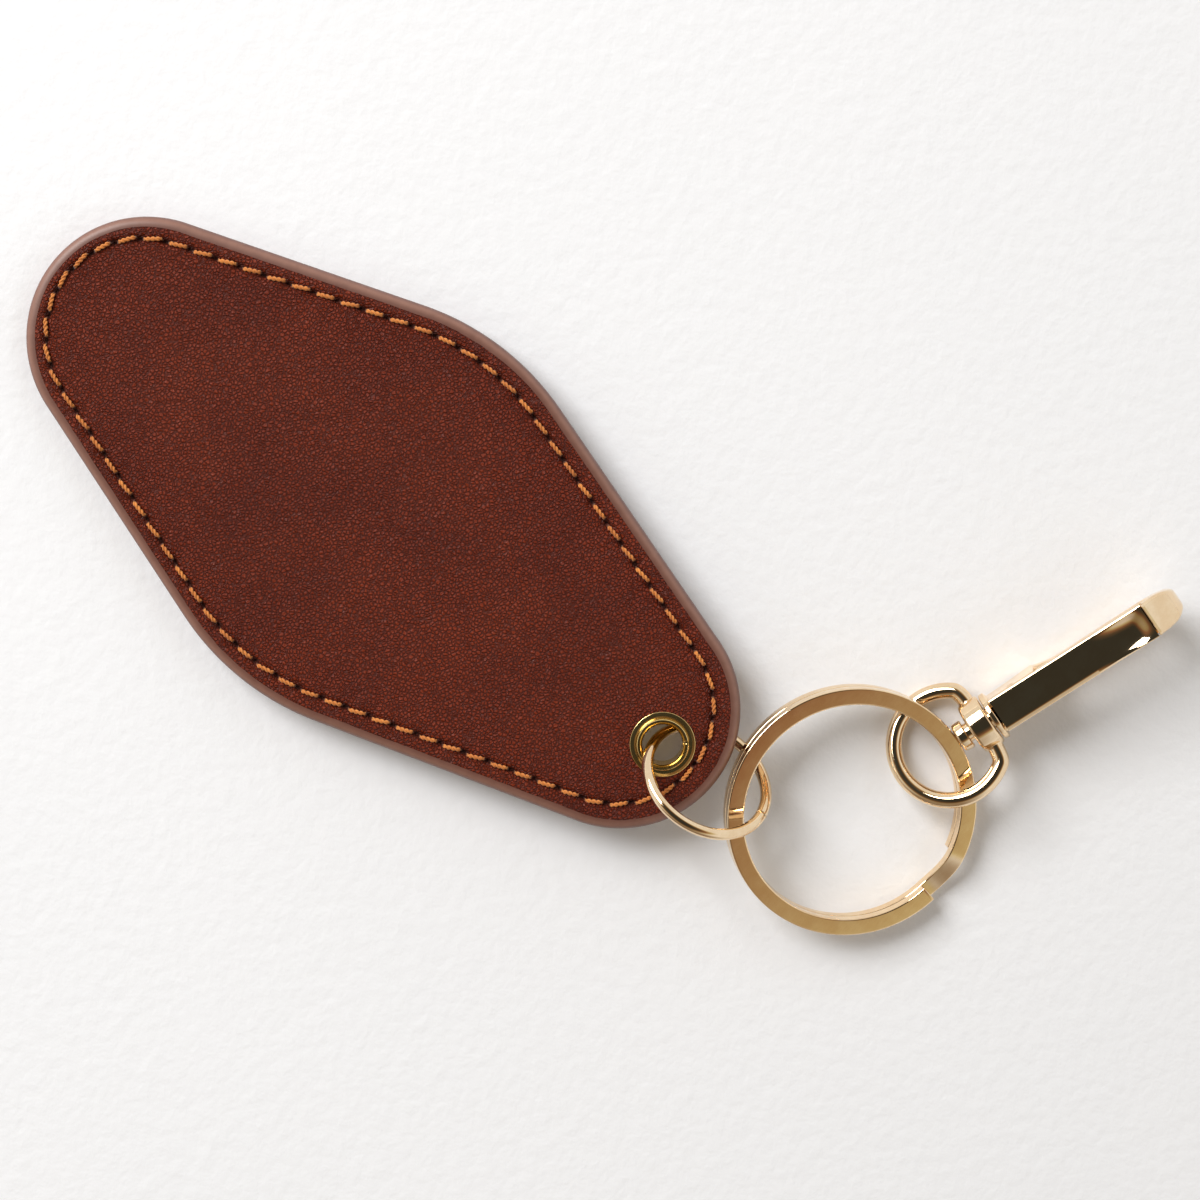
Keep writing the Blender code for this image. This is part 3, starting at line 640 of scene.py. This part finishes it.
def leather_face(name, front, material):
    """One face as a closed solid: rim tucked under the paint, puckered margin, open field."""
    insets = [0.55, 0.8, 1.0, 1.12, 1.22, 1.34]
    insets += [1.34 + 0.19 * k for k in range(1, 20)]
    insets += [4.95 + 0.45 * k for k in range(1, 9)]
    insets += [8.55 + 0.9 * k for k in range(1, 7)]
    count = len(RIM)
    rings = [[(edge - out * (0.55 * MM), TOP - LEATHER, 0.0) for edge, out in RIM]]
    for inset in insets:
        ring = []
        fall = max(0.0, 1.34 - inset) / 0.34
        shift = Vector((STITCH_SHIFT, 0.0)) * min(1.0, max(0.0, inset - 1.34) / 1.2)
        for k, (edge, out) in enumerate(RIM):
            point = edge - out * (inset * MM) + shift
            off = STITCH_INSET - inset * MM
            height, hollow = relief(point, ALONG[k], off)
            height += undulation(point) * min(1.0, inset / 4.0)
            height -= 0.13 * MM * min(1.0, fall) ** 1.5 + 0.12 * MM * max(0.0, fall - 1.0)
            # painted shade along the crease where the face tucks under the paint
            hollow = max(hollow, 0.55 * bell(inset - 1.12, 0.16))
            ring.append((point, TOP + height, hollow))
        rings.append(ring)
    last = [point for point, height, hollow in rings[-1]]
    for share in (0.8, 0.6, 0.4, 0.2, 0.06):
        ring = []
        for point in last:
            inner = Vector((point.x * (0.85 + 0.15 * share), point.y * share))
            ring.append((inner, TOP + undulation(inner), 0.0))
        rings.append(ring)
    points = []
    hollow_shades = []
    for ring in rings:
        for point, height, hollow in ring:
            points.append((point.x, point.y, height if front else TOP - height))
            hollow_shades.append(hollow)
    faces = []
    for k in range(len(rings) - 1):
        for i in range(count):
            j = (i + 1) % count
            here = k * count
            faces.append((here + i, here + j, here + count + j, here + count + i))
    faces.append(tuple(range(count)))
    faces.append(tuple(range(len(points) - count, len(points))))
    obj = piece(name, points, faces, material, 80.0)
    mark(obj, "hollow", hollow_shades)
    hole = rod(
        name + "_hole",
        [(-4.0 * MM, BORE_RADIUS + 0.4 * MM), (4.0 * MM, BORE_RADIUS + 0.4 * MM)],
        material,
        Matrix.Translation((EYELET_X, 0.0, MIDDLE)) @ Matrix.Rotation(math.pi / 2.0, 4, "Y"),
    )
    combined(obj, hole, "DIFFERENCE")
    return finished(obj, "fob", "leather", "front_leather" if front else "back_leather")


def painted_edge(material):
    """The rounded band of paint all round, with an uneven lip on each face."""
    half = MIDDLE + 0.01 * MM
    steps = 18
    rings = []
    crown_highlights = []
    for k, (edge, out) in enumerate(RIM):
        wander = noise.noise(Vector((edge.x, edge.y, 0.0)) * 260.0)
        ring = []
        for i in range(steps + 1):
            angle = math.pi / 2.0 - math.pi * i / steps
            flat = math.copysign(abs(math.sin(angle)) ** 0.72, math.sin(angle))
            inset = PAINT_SHOULDER * (1.0 - abs(math.cos(angle)) ** 0.9)
            inset += PAINT_WAVE * wander * (1.0 - math.cos(angle))
            point = edge - out * inset
            ring.append(Vector((point.x, point.y, MIDDLE + half * flat)))
            # painted highlight strength, strongest on the rounded shoulders toward each face
            crown_highlights.append(bell(abs(angle) - 0.95, 0.4))
        for side in (-1.0, 1.0):
            inset = PAINT_SHOULDER - 0.1 * MM
            point = edge - out * inset
            ring.append(Vector((point.x, point.y, MIDDLE + side * (half - PAINT_LIP * 2.0))))
            crown_highlights.append(0.0)
        rings.append(ring)
    obj = loft("painted_edge", rings, material, True, 80.0)
    mark(obj, "crown", crown_highlights)
    return finished(obj, "fob", "edge_paint", "edge_paint")


# ---------------------------------------------------------------- stitches


def stitch_strand(points, buried, faces, middle, direction, side, spin, front, length):
    """One ply of one stitch, from the hole it comes out of to the hole it goes into."""
    across = Vector((-direction.y, direction.x))
    steps = 18
    around = 8
    base = len(points)
    for i in range(steps + 1):
        share = i / steps
        run = (share - 0.5) * length
        lift = 1.0 - abs(2.0 * share - 1.0) ** 5
        height = (STITCH_RISE + STITCH_DIVE) * lift - STITCH_DIVE
        twist = 2.0 * math.pi * run / PLY_TURN + side * math.pi + spin
        squeeze = 1.0 - 0.35 * abs(2.0 * share - 1.0) ** 3
        sideways = PLY_OFFSET * math.cos(twist) * squeeze
        upwards = PLY_OFFSET * 0.75 * math.sin(twist) * squeeze
        for k in range(around):
            angle = 2.0 * math.pi * k / around
            reach = sideways + STRAND * squeeze * math.cos(angle)
            rise = height + upwards + STRAND * squeeze * math.sin(angle)
            spot = middle + direction * run + across * reach
            up = TOP + rise if front else -rise
            points.append((spot.x, spot.y, up))
            # painted shade amount: rises to 1 where the strand dips under the leather's face
            buried.append(min(1.0, max(0.0, (-0.02 * MM - height) / (0.25 * MM))))
    for i in range(steps):
        for k in range(around):
            j = (k + 1) % around
            here = base + i * around
            faces.append((here + k, here + j, here + around + j, here + around + k))
    faces.append(tuple(range(base, base + around)))
    faces.append(tuple(range(len(points) - around, len(points))))


def stitching(name, front, node, material):
    """Separate stitches of two-ply thread, each a little different."""
    points = []
    buried = []
    faces = []
    slant = math.radians(STITCH_SLANT if front else -STITCH_SLANT)
    for k in range(STITCHES):
        middle, direction = on_line((k + 0.5) * PITCH)
        vary = noise.noise(Vector((k * 1.7, 3.0 if front else 9.0, 0.5)))
        turn = Matrix.Rotation(slant + 0.10 * vary, 2)
        length = STITCH_LENGTH * (1.0 + 0.07 * vary)
        for side in (0.0, 1.0):
            stitch_strand(
                points, buried, faces, middle, turn @ direction, side, 2.4 * vary + k, front, length
            )
    obj = piece(name, points, faces, material, 80.0)
    mark(obj, "buried", buried)
    return finished(obj, "fob", "thread", node)


# ---------------------------------------------------------------- eyelet


def eyelet_axis():
    """Turns a profile's X to the fob's +Z, through the eyelet."""
    return Matrix.Translation((EYELET_X, 0.0, 0.0)) @ Matrix.Rotation(-math.pi / 2.0, 4, "Y")


def eyelet(material):
    """Barrel with its flange behind, and in front a rim rolled over and split at one place."""
    crest = TOP + 0.32 * MM
    roll = arc((crest, BORE_RADIUS + RIM_ROLL), RIM_ROLL, 270.0, 90.0 - 55.0, 22)
    under = [(TOP + 0.16 * MM, BORE_RADIUS + 1.55 * RIM_ROLL), (TOP, BORE_RADIUS + 0.35 * MM)]
    flange = [(-0.06 * MM, BORE_RADIUS + 0.35 * MM), (-0.06 * MM, 3.8 * MM)]
    flange += arc((-0.17 * MM, 3.8 * MM), 0.11 * MM, 90.0, 180.0, 5)
    flange += arc((0.12 * MM, BORE_RADIUS + 0.42 * MM), 0.42 * MM, 180.0, 270.0, 8)
    obj = turned("eyelet", roll + under + flange, material, eyelet_axis(), 144)
    split = math.radians(42.0)
    for vertex in obj.data.vertices:
        out = Vector((vertex.co.x - EYELET_X, vertex.co.y))
        angle = math.atan2(out.y, out.x) - split
        notch = bell(angle, 0.045) * max(0.0, min(1.0, (vertex.co.z - TOP) / (0.3 * MM)))
        rough = 0.03 * MM * noise.noise(Vector((out.x, out.y, 0.0)) * 700.0)
        if vertex.co.z > TOP:
            vertex.co.z += rough - 0.42 * MM * notch
    return finished(obj, "fob", "brass", "eyelet")


def washer(material):
    """A thin domed ring with a pressed groove, under the rolled rim."""
    inner = BORE_RADIUS + 0.4 * MM
    low = TOP + 0.03 * MM
    section = [(low, inner), (low, WASHER_RADIUS - 0.05 * MM)]
    section += arc((low + 0.1 * MM, WASHER_RADIUS - 0.1 * MM), 0.1 * MM, 0.0 + 90.0, 0.0, 5)
    section += [
        (low + 0.24 * MM, WASHER_RADIUS - 0.35 * MM),
        (low + 0.27 * MM, WASHER_RADIUS - 0.55 * MM),
        (low + 0.19 * MM, WASHER_RADIUS - 0.7 * MM),
        (low + 0.2 * MM, inner),
    ]
    obj = turned("eyelet_washer", section, material, eyelet_axis(), 144)
    return finished(obj, "fob", "brass", "eyelet_washer")


# ---------------------------------------------------------------- rings


def middle_of(node):
    low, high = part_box(node)
    return (low + high) / 2.0


def wire_ring(name, radius, section, start, end, steps, place, material, lift=None, smooth=40.0):
    """A section of (out, up) pairs carried round Z, in degrees, with eased ends."""
    ease = math.degrees(END_EASE / radius)
    stations = [(start, END_SCALE), (start + ease, 1.0)]
    stations += [(start + (end - start) * i / steps, 1.0) for i in range(1, steps)]
    stations += [(end - ease, 1.0), (end, END_SCALE)]
    loops = []
    for degrees, scale in stations:
        angle = math.radians(degrees)
        rise = lift(degrees) if lift else 0.0
        loop = []
        for out, up in section:
            reach = radius + out * scale
            spot = (reach * math.cos(angle), reach * math.sin(angle), up * scale + rise)
            loop.append(place @ Vector(spot))
        loops.append(loop)
    return loft(name, loops, material, False, smooth)


def jump_ring(material):
    place = Matrix.Translation(middle_of("jump_ring")) @ leaning(JUMP_TILT, JUMP_HEADING)
    gap = math.degrees(0.06 * MM / JUMP_RADIUS)
    section = arc((0.0, 0.0), JUMP_WIRE, 0.0, 345.0, 23)
    start = JUMP_SEAM + gap
    end = JUMP_SEAM + 360.0 - gap
    obj = wire_ring("jump_ring", JUMP_RADIUS, section, start, end, 200, place, material)
    return finished(obj, "jump_ring", "pale_gold", "jump_ring")


def split_lift(degrees):
    """Height of the wire's middle: lower turn, crossover, upper turn."""
    share = min(max((degrees - SPLIT_END - 360.0) / SPLIT_CROSSOVER, 0.0), 1.0)
    return SPLIT_PITCH * (share * share * (3.0 - 2.0 * share) - 0.5)


def split_place():
    """The split ring's centre and turn, from its joint."""
    entry = joint("split_ring_turn")
    normal = Vector(entry["axis"]).normalized()
    along = (Vector((1.0, 0.0, 0.0)) - normal * normal.x).normalized()
    turn = Matrix((along, normal.cross(along), normal)).transposed().to_4x4()
    return Matrix.Translation(entry["pos_m"]) @ turn


def split_ring(material):
    """Two turns of flat wire joined by the crossover."""
    half = SPLIT_HEIGHT / 2.0
    section = rounded_box(SPLIT_BAND / 2.0, -half, half, SPLIT_CORNER, 6)
    obj = wire_ring(
        "split_ring",
        SPLIT_MEAN,
        section,
        SPLIT_END + SPLIT_CROSSOVER,
        SPLIT_END + 720.0,
        480,
        split_place(),
        material,
        split_lift,
        25.0,
    )
    return finished(crisp(obj), "split_ring", "pale_gold", "split_ring")


# ---------------------------------------------------------------- swivel eye and pin


def hook_place():
    """The hook's frame: X along the swivel axis to the tip, Y along the gate's rivet."""
    swivel = joint("hook_swivel")
    along = Vector(swivel["axis"]).normalized()
    across = Vector(joint("gate_open")["axis"]).normalized()
    across = (across - along * across.dot(along)).normalized()
    turn = Matrix((along, across, along.cross(across))).transposed().to_4x4()
    return Matrix.Translation(swivel["pos_m"]) @ turn


def eye_path():
    """The eye's wire: most of a circle, with both ends turned in to the collar."""
    angle = math.radians(EYE_TURN_IN)
    tangent = Vector((math.sin(angle), -math.cos(angle)))
    middle = (COLLAR_FRONT + COLLAR_BACK) / 2.0
    start = EYE_RADIUS * Vector((math.cos(angle), math.sin(angle)))
    corner = start + tangent * ((middle - start.x) / tangent.x)
    end = Vector((middle, EYE_END))
    bend = []
    for i in range(1, 15):
        share = i / 14.0
        bend.append(start.lerp(corner, share).lerp(corner.lerp(end, share), share))
    circle = arc((0.0, 0.0), EYE_RADIUS, EYE_TURN_IN, 360.0 - EYE_TURN_IN, 150)
    lower = [Vector((spot.x, -spot.y)) for spot in bend]
    return bend[::-1] + [Vector(spot) for spot in circle] + lower


def swivel_eye(material, place):
    """A wire ring whose hook side is a bored drum."""
    path = eye_path()
    rings = []
    for i, spot in enumerate(path):
        before = path[max(0, i - 1)]
        after = path[min(len(path) - 1, i + 1)]
        out = Vector((after.y - before.y, before.x - after.x)).normalized()
        ring = []
        for across, up in arc((0.0, 0.0), EYE_WIRE, 0.0, 345.0, 23):
            ring.append(place @ Vector((spot.x + out.x * across, spot.y + out.y * across, up)))
        rings.append(ring)
    eye = loft("swivel_eye", rings, material)
    rim_back = arc((COLLAR_BACK + 0.45 * MM, COLLAR_RADIUS - 0.45 * MM), 0.45 * MM, 180.0, 90.0, 7)
    rim_front = arc((COLLAR_FRONT - 0.35 * MM, COLLAR_RADIUS - 0.35 * MM), 0.35 * MM, 90.0, 0.0, 6)
    bore = [(COLLAR_FRONT, PIN_BORE + 0.15 * MM), (COLLAR_FRONT - 0.15 * MM, PIN_BORE)]
    bore += [(COLLAR_BACK + 0.15 * MM, PIN_BORE), (COLLAR_BACK, PIN_BORE + 0.15 * MM)]
    drum = turned("collar", rim_back + rim_front + bore, material, place, 96, 30.0)
    combined(eye, drum, "UNION")
    return finished(crisp(eye), "swivel_eye", "pale_gold", "swivel_eye")


def swivel_pin(material, place):
    """The pin's domed head and its shank through the collar."""
    back = PIN_HEAD_BACK - FLANGE_AT
    front = PIN_HEAD_FRONT - FLANGE_AT
    radius = PIN_HEAD_RADIUS
    profile = [(back, 0.9 * MM), (back + 0.06 * MM, 1.3 * MM)]
    profile += arc((back + 0.45 * MM, radius - 0.35 * MM), 0.35 * MM, 165.0, 90.0, 6)
    profile += arc((front - 0.22 * MM, radius - 0.22 * MM), 0.22 * MM, 90.0, 0.0, 5)
    profile += [(front, PIN_RADIUS), (PIN_END, PIN_RADIUS)]
    obj = rod("swivel_pin", profile, material, place, 72)
    return finished(obj, "hook", "pale_gold", "swivel_pin")


# ---------------------------------------------------------------- hook and gate


def gate_top(x):
    return GATE_LOW_TOP + GATE_RISE * x


def smooth_step(low, high, value):
    share = min(1.0, max(0.0, (value - low) / (high - low)))
    return share * share * (3.0 - 2.0 * share)


def hook_section(low, high, half, corner):
    """A rounded section between two points of the hook's side, as (x, y, z) points."""
    middle = (low + high) / 2.0
    up = high - low
    reach = up.length / 2.0
    up = up.normalized()
    corner = min(corner, 0.96 * reach, 0.96 * half)
    spots = []
    for across, rise in rounded_box(half, -reach, reach, corner, 5):
        spot = middle + up * rise
        spots.append(Vector((spot.x, across, spot.y)))
    return spots


def nose_outer(degrees):
    """The nose's outer side: round at the tip, then a straight slope up to the gate."""
    angle = math.radians(min(degrees, SLOPE_FROM))
    spot = Vector((NOSE_X + NOSE_RADIUS * math.cos(angle), NOSE_RADIUS * math.sin(angle)))
    if degrees < 0.0:
        out = Vector((math.cos(angle), math.sin(angle)))
        spot += out * (-SPINE_LOW - NOSE_RADIUS) * smooth_step(0.0, -90.0, degrees)
    share = max(0.0, degrees - SLOPE_FROM) / (SLOPE_TO - SLOPE_FROM)
    return spot.lerp(Vector((NOSE_FACE, NOSE_TOP)), share)


def hook_stations():
    """Sections along the hook: base block, neck, spine, tip and nose.

    Each is two opposite points of the hook's side, half the width there and the corner.
    """
    stations = []
    for x in (0.4, 1.2, 2.4, 3.6):
        low = BLOCK_LOW - 0.16 * MM * max(0.0, x - 1.2)
        stations.append((Vector((x * MM, low)), Vector((x * MM, BLOCK_TOP)), HOOK_HALF, 0.3 * MM))
    for x, low in ((5.2, -4.25), (6.5, -4.75), (7.15, -4.9)):
        spots = Vector((x * MM, low * MM)), Vector((x * MM, BLOCK_TOP))
        stations.append((*spots, HOOK_HALF, 0.3 * MM))
    for x, low, high, half in (
        (7.3, -4.95, 1.7, 2.18),
        (7.34, -4.96, -1.6, 2.12),
        (7.7, -5.05, -2.45, 2.0),
        (8.6, -5.18, -3.0, 1.75),
        (9.8, -5.28, -3.18, 1.55),
    ):
        spots = Vector((x * MM, low * MM)), Vector((x * MM, high * MM))
        stations.append((*spots, half * MM, 0.55 * MM))
    for k in range(12):
        x = 10.6 * MM + (NOSE_X - 10.6 * MM) * k / 12.0
        spots = Vector((x, SPINE_LOW)), Vector((x, SPINE_HIGH))
        stations.append((*spots, SPINE_HALF, 0.7 * MM))
    for k in range(40):
        degrees = -90.0 + (77.5 + 90.0) * k / 39.0
        angle = math.radians(degrees)
        out = Vector((math.cos(angle), math.sin(angle)))
        centre = Vector((NOSE_X, 0.0))
        inner = NOSE_INNER + (-SPINE_HIGH - NOSE_INNER) * smooth_step(-20.0, -90.0, degrees)
        half = SPINE_HALF + (HOOK_HALF - SPINE_HALF) * smooth_step(-5.0, 62.0, degrees)
        stations.append((nose_outer(degrees), centre + out * inner, half, 0.75 * MM))
    return stations


def nose_end():
    """The nose's last sections, over the end of the gate."""
    under = gate_top(GATE_END) - WEB + 0.12 * MM
    stations = []
    for reach, drop in ((0.35 * MM, 0.19 * MM), (0.08 * MM, 0.07 * MM), (0.0, 0.16 * MM)):
        x = NOSE_FACE + reach
        spots = Vector((x, NOSE_TOP - drop)), Vector((x, under + min(drop, 0.1 * MM)))
        stations.append((*spots, HOOK_HALF - 0.6 * drop, 0.35 * MM))
    return stations


def hook_body(material, place):
    """Flange, slotted base, spine and nose in one piece."""
    rings = []
    for low, high, half, corner in hook_stations():
        rings.append(hook_section(low, high, half, corner))
    for high, low, half, corner in nose_end():
        rings.append(hook_section(high, low, half, corner))
    obj = loft("hook", rings, material, False, 28.0)
    slot_box = rounded_box(SLOT_HALF, SLOT_FLOOR, SLOT_OPEN, 0.2 * MM, 2)
    slot = loft(
        "hook_slot",
        [[Vector((x, across, up)) for across, up in slot_box] for x in (SLOT_START, SLOT_END)],
        material,
    )
    combined(obj, slot, "DIFFERENCE")
    profile = arc((0.18 * MM, 2.92 * MM), 0.18 * MM, 180.0, 90.0, 5)
    profile += arc((0.5 * MM, 2.92 * MM), 0.18 * MM, 90.0, 0.0, 5)
    profile += [(1.0 * MM, 2.2 * MM)]
    flange = rod("flange", profile, material, Matrix.Identity(4), 72)
    combined(obj, flange, "UNION")
    obj.data.transform(place)
    return finished(crisp(obj), "hook", "pale_gold", "hook_body")


def rivet(material, place):
    """The gate's rivet, a hair proud of the cheeks with eased ends."""
    reach = HOOK_HALF + 0.05 * MM
    profile = [(-reach, RIVET_EASED), (0.1 * MM - reach, RIVET_RADIUS)]
    profile += [(reach - 0.1 * MM, RIVET_RADIUS), (reach, RIVET_EASED)]
    turn = place @ Matrix.Translation(RIVET) @ Matrix.Rotation(math.pi / 2.0, 4, "Z")
    obj = rod("gate_rivet", profile, material, turn, 32)
    return finished(obj, "hook", "pale_gold", "gate_rivet")


def scoop(x, across):
    """Depth of the thumb hollow: it deepens towards the nose and ends in a steep wall."""
    length = smooth_step(SCOOP_START, 20.2 * MM, x) * (1.0 - smooth_step(20.0 * MM, 22.1 * MM, x))
    width = max(0.0, 1.0 - (abs(across) / (1.95 * MM)) ** 2.4)
    return SCOOP_DEPTH * length * width


def gate_section(x):
    """The gate's channel at x: outside from left to right, then back along the inside."""
    top = gate_top(x)
    channel = smooth_step(7.6 * MM, 7.8 * MM, x)
    low = top - WEB - (GATE_DEPTH - WEB) * channel
    hollow = smooth_step(8.3 * MM, 8.5 * MM, x) * (1.0 - smooth_step(21.0 * MM, 21.2 * MM, x))
    half = HOOK_HALF
    bevel = 0.46 * MM * (1.0 - smooth_step(16.0 * MM, 21.5 * MM, x)) + 0.12 * MM
    spots = [(-half, low), (-half, top - 0.6 * bevel), (0.35 * bevel - half, top - 0.2 * bevel)]
    inner = half - bevel
    for k in range(25):
        across = -inner + (half - 0.16 * MM + inner) * k / 24.0
        spots.append((across, top - scoop(x, across)))
    spots += [(half - 0.05 * MM, top - 0.06 * MM), (half, top - 0.18 * MM), (half, low)]
    wall = half - 0.7 * MM
    ceiling = low + 0.02 * MM + (top - WEB - low - SCOOP_DEPTH * 0.6) * hollow
    spots += [(wall, low), (wall, ceiling), (-wall, ceiling), (-wall, low)]
    return [Vector((x, across, up)) for across, up in spots]


def gate(material, place):
    """A channel with a thumb hollow, and a root that turns between the cheeks."""
    places = [GATE_START, GATE_START + 0.06 * MM]
    places += [GATE_START + 0.06 * MM + 0.4 * MM * k for k in range(1, 29)]
    places += [12.6 * MM + 0.13 * MM * k for k in range(0, 71)]
    places += [GATE_END - 0.05 * MM, GATE_END]
    places = sorted(x for x in places if x <= GATE_END)
    rings = [gate_section(x) for x in places]
    obj = loft("gate", rings, material, False, 32.0)
    outline = arc((RIVET.x, RIVET.z), ROOT_RADIUS, 180.0, 330.0, 16)
    outline += [(ROOT_END, 1.9 * MM), (ROOT_END, 2.75 * MM), (RIVET.x - ROOT_RADIUS, 2.6 * MM)]
    sides = [[Vector((x, side, up)) for x, up in outline] for side in (-ROOT_HALF, ROOT_HALF)]
    root = loft("gate_root", sides, material)
    combined(obj, root, "UNION")
    tongue_top = gate_top(GATE_END) - WEB - 0.02 * MM
    tongue_low = gate_top(GATE_END) - GATE_DEPTH + 0.02 * MM
    box = rounded_box(HOOK_HALF - 0.3 * MM, tongue_low, tongue_top, 0.15 * MM, 3)
    spans = [[Vector((x, across, up)) for across, up in box] for x in (TONGUE_START, TONGUE_END)]
    combined(obj, loft("gate_tongue", spans, material), "UNION")
    obj.data.transform(place)
    return finished(obj, "gate", "pale_gold", "gate")


# ---------------------------------------------------------------- floor, light, camera


def floor(material):
    reach = 0.7
    points = []
    for x, y in ((-reach, -reach), (reach, -reach), (reach, reach), (-reach, reach)):
        points.append((x, y, FLOOR_SLOPE * (x + FOB_LENGTH / 2.0) - 0.02 * MM))
    piece("floor", points, [(0, 1, 2, 3)], material)


def camera_turn():
    """The camera's own axes: looking down, turned and a little tipped."""
    tip = Matrix.Rotation(math.radians(6.0), 4, "X")
    turn = Matrix.Rotation(math.radians(-38.36), 4, "Z")
    return (tip @ turn).inverted()


def camera():
    data = bpy.data.cameras.new("camera")
    data.sensor_width = 36.0
    data.lens = 72.0
    data.clip_start = 0.01
    obj = bpy.data.objects.new("camera", data)
    bpy.context.scene.collection.objects.link(obj)
    obj.matrix_world = Matrix.Translation(Vector((6.8, 32.4, 286.9)) * MM) @ camera_turn()
    bpy.context.scene.camera = obj
    bpy.context.scene.view_settings.view_transform = "Standard"


def lamp(name, place, size, power, colour):
    """A soft square light that faces the fob."""
    data = bpy.data.lights.new(name, "AREA")
    data.shape = "SQUARE"
    data.size = size
    data.energy = power
    data.color = colour
    obj = bpy.data.objects.new(name, data)
    bpy.context.scene.collection.objects.link(obj)
    aim = Vector((0.02, 0.01, 0.0)) - Vector(place)
    obj.matrix_world = Matrix.Translation(place) @ aim.to_track_quat("-Z", "Y").to_matrix().to_4x4()


def surroundings():
    """Pale walls all round and a dim ceiling overhead, which the polished metal shows."""
    sky = Sky("studio")
    bpy.context.scene.world = sky.world
    ceiling = [
        (0.0, (1.0, 1.0, 1.0)),
        (0.62, (1.0, 1.0, 1.0)),
        (0.71, (0.68, 0.60, 0.36)),
        (0.79, (0.32, 0.165, 0.094)),
        (0.86, (0.12, 0.085, 0.055)),
        (0.93, (0.046, 0.046, 0.040)),
    ]
    dull = [(0.0, (1.0, 1.0, 1.0)), (0.55, (1.0, 1.0, 1.0)), (0.9, (0.34, 0.27, 0.20))]
    sockets = {
        0: sky.shades(sky.toward((-0.17, 0.0, 0.985)), ceiling),
        1: sky.shades(sky.toward((0.28, -0.92, 0.28)), dull),
    }
    sky.set(Color=sky.add("ShaderNodeVectorMath", {"operation": "MULTIPLY"}, sockets))
    sky.set(Strength=0.85)


# ---------------------------------------------------------------- everything together


def build():
    leather = leather_finish()
    paint = edge_paint_finish()
    thread = thread_finish()
    brass = metal_finish("eyelet brass", (0.86, 0.66, 0.30), (0.78, 0.56, 0.22), 0.16)
    gold = metal_finish("pale gold plate", (0.93, 0.74, 0.50), (0.86, 0.64, 0.40), 0.07)
    leather_face("front_leather", True, leather)
    leather_face("back_leather", False, leather)
    painted_edge(paint)
    stitching("front_stitches", True, "front_stitching", thread)
    stitching("back_stitches", False, "back_stitching", thread)
    eyelet(brass)
    washer(brass)
    jump_ring(gold)
    split_ring(gold)
    place = hook_place()
    eye_centre = Matrix.Translation((-FLANGE_AT, 0.0, 0.0))
    eye_turn = Matrix.Rotation(math.radians(EYE_ROLL), 4, "X")
    swivel_eye(gold, place @ eye_centre @ eye_turn)
    swivel_pin(gold, place)
    hook_body(gold, place)
    rivet(gold, place)
    gate(gold, place)
    for node, finish in (("core_board", board_finish()), ("gate_spring", spring_finish())):
        frame["nodes"][node].data.materials.clear()
        frame["nodes"][node].data.materials.append(finish)
    floor(floor_finish())
    lamp("window", (-0.80, 0.10, 0.72), 0.6, 12.6, (1.0, 0.995, 0.99))
    surroundings()
    camera()


build()
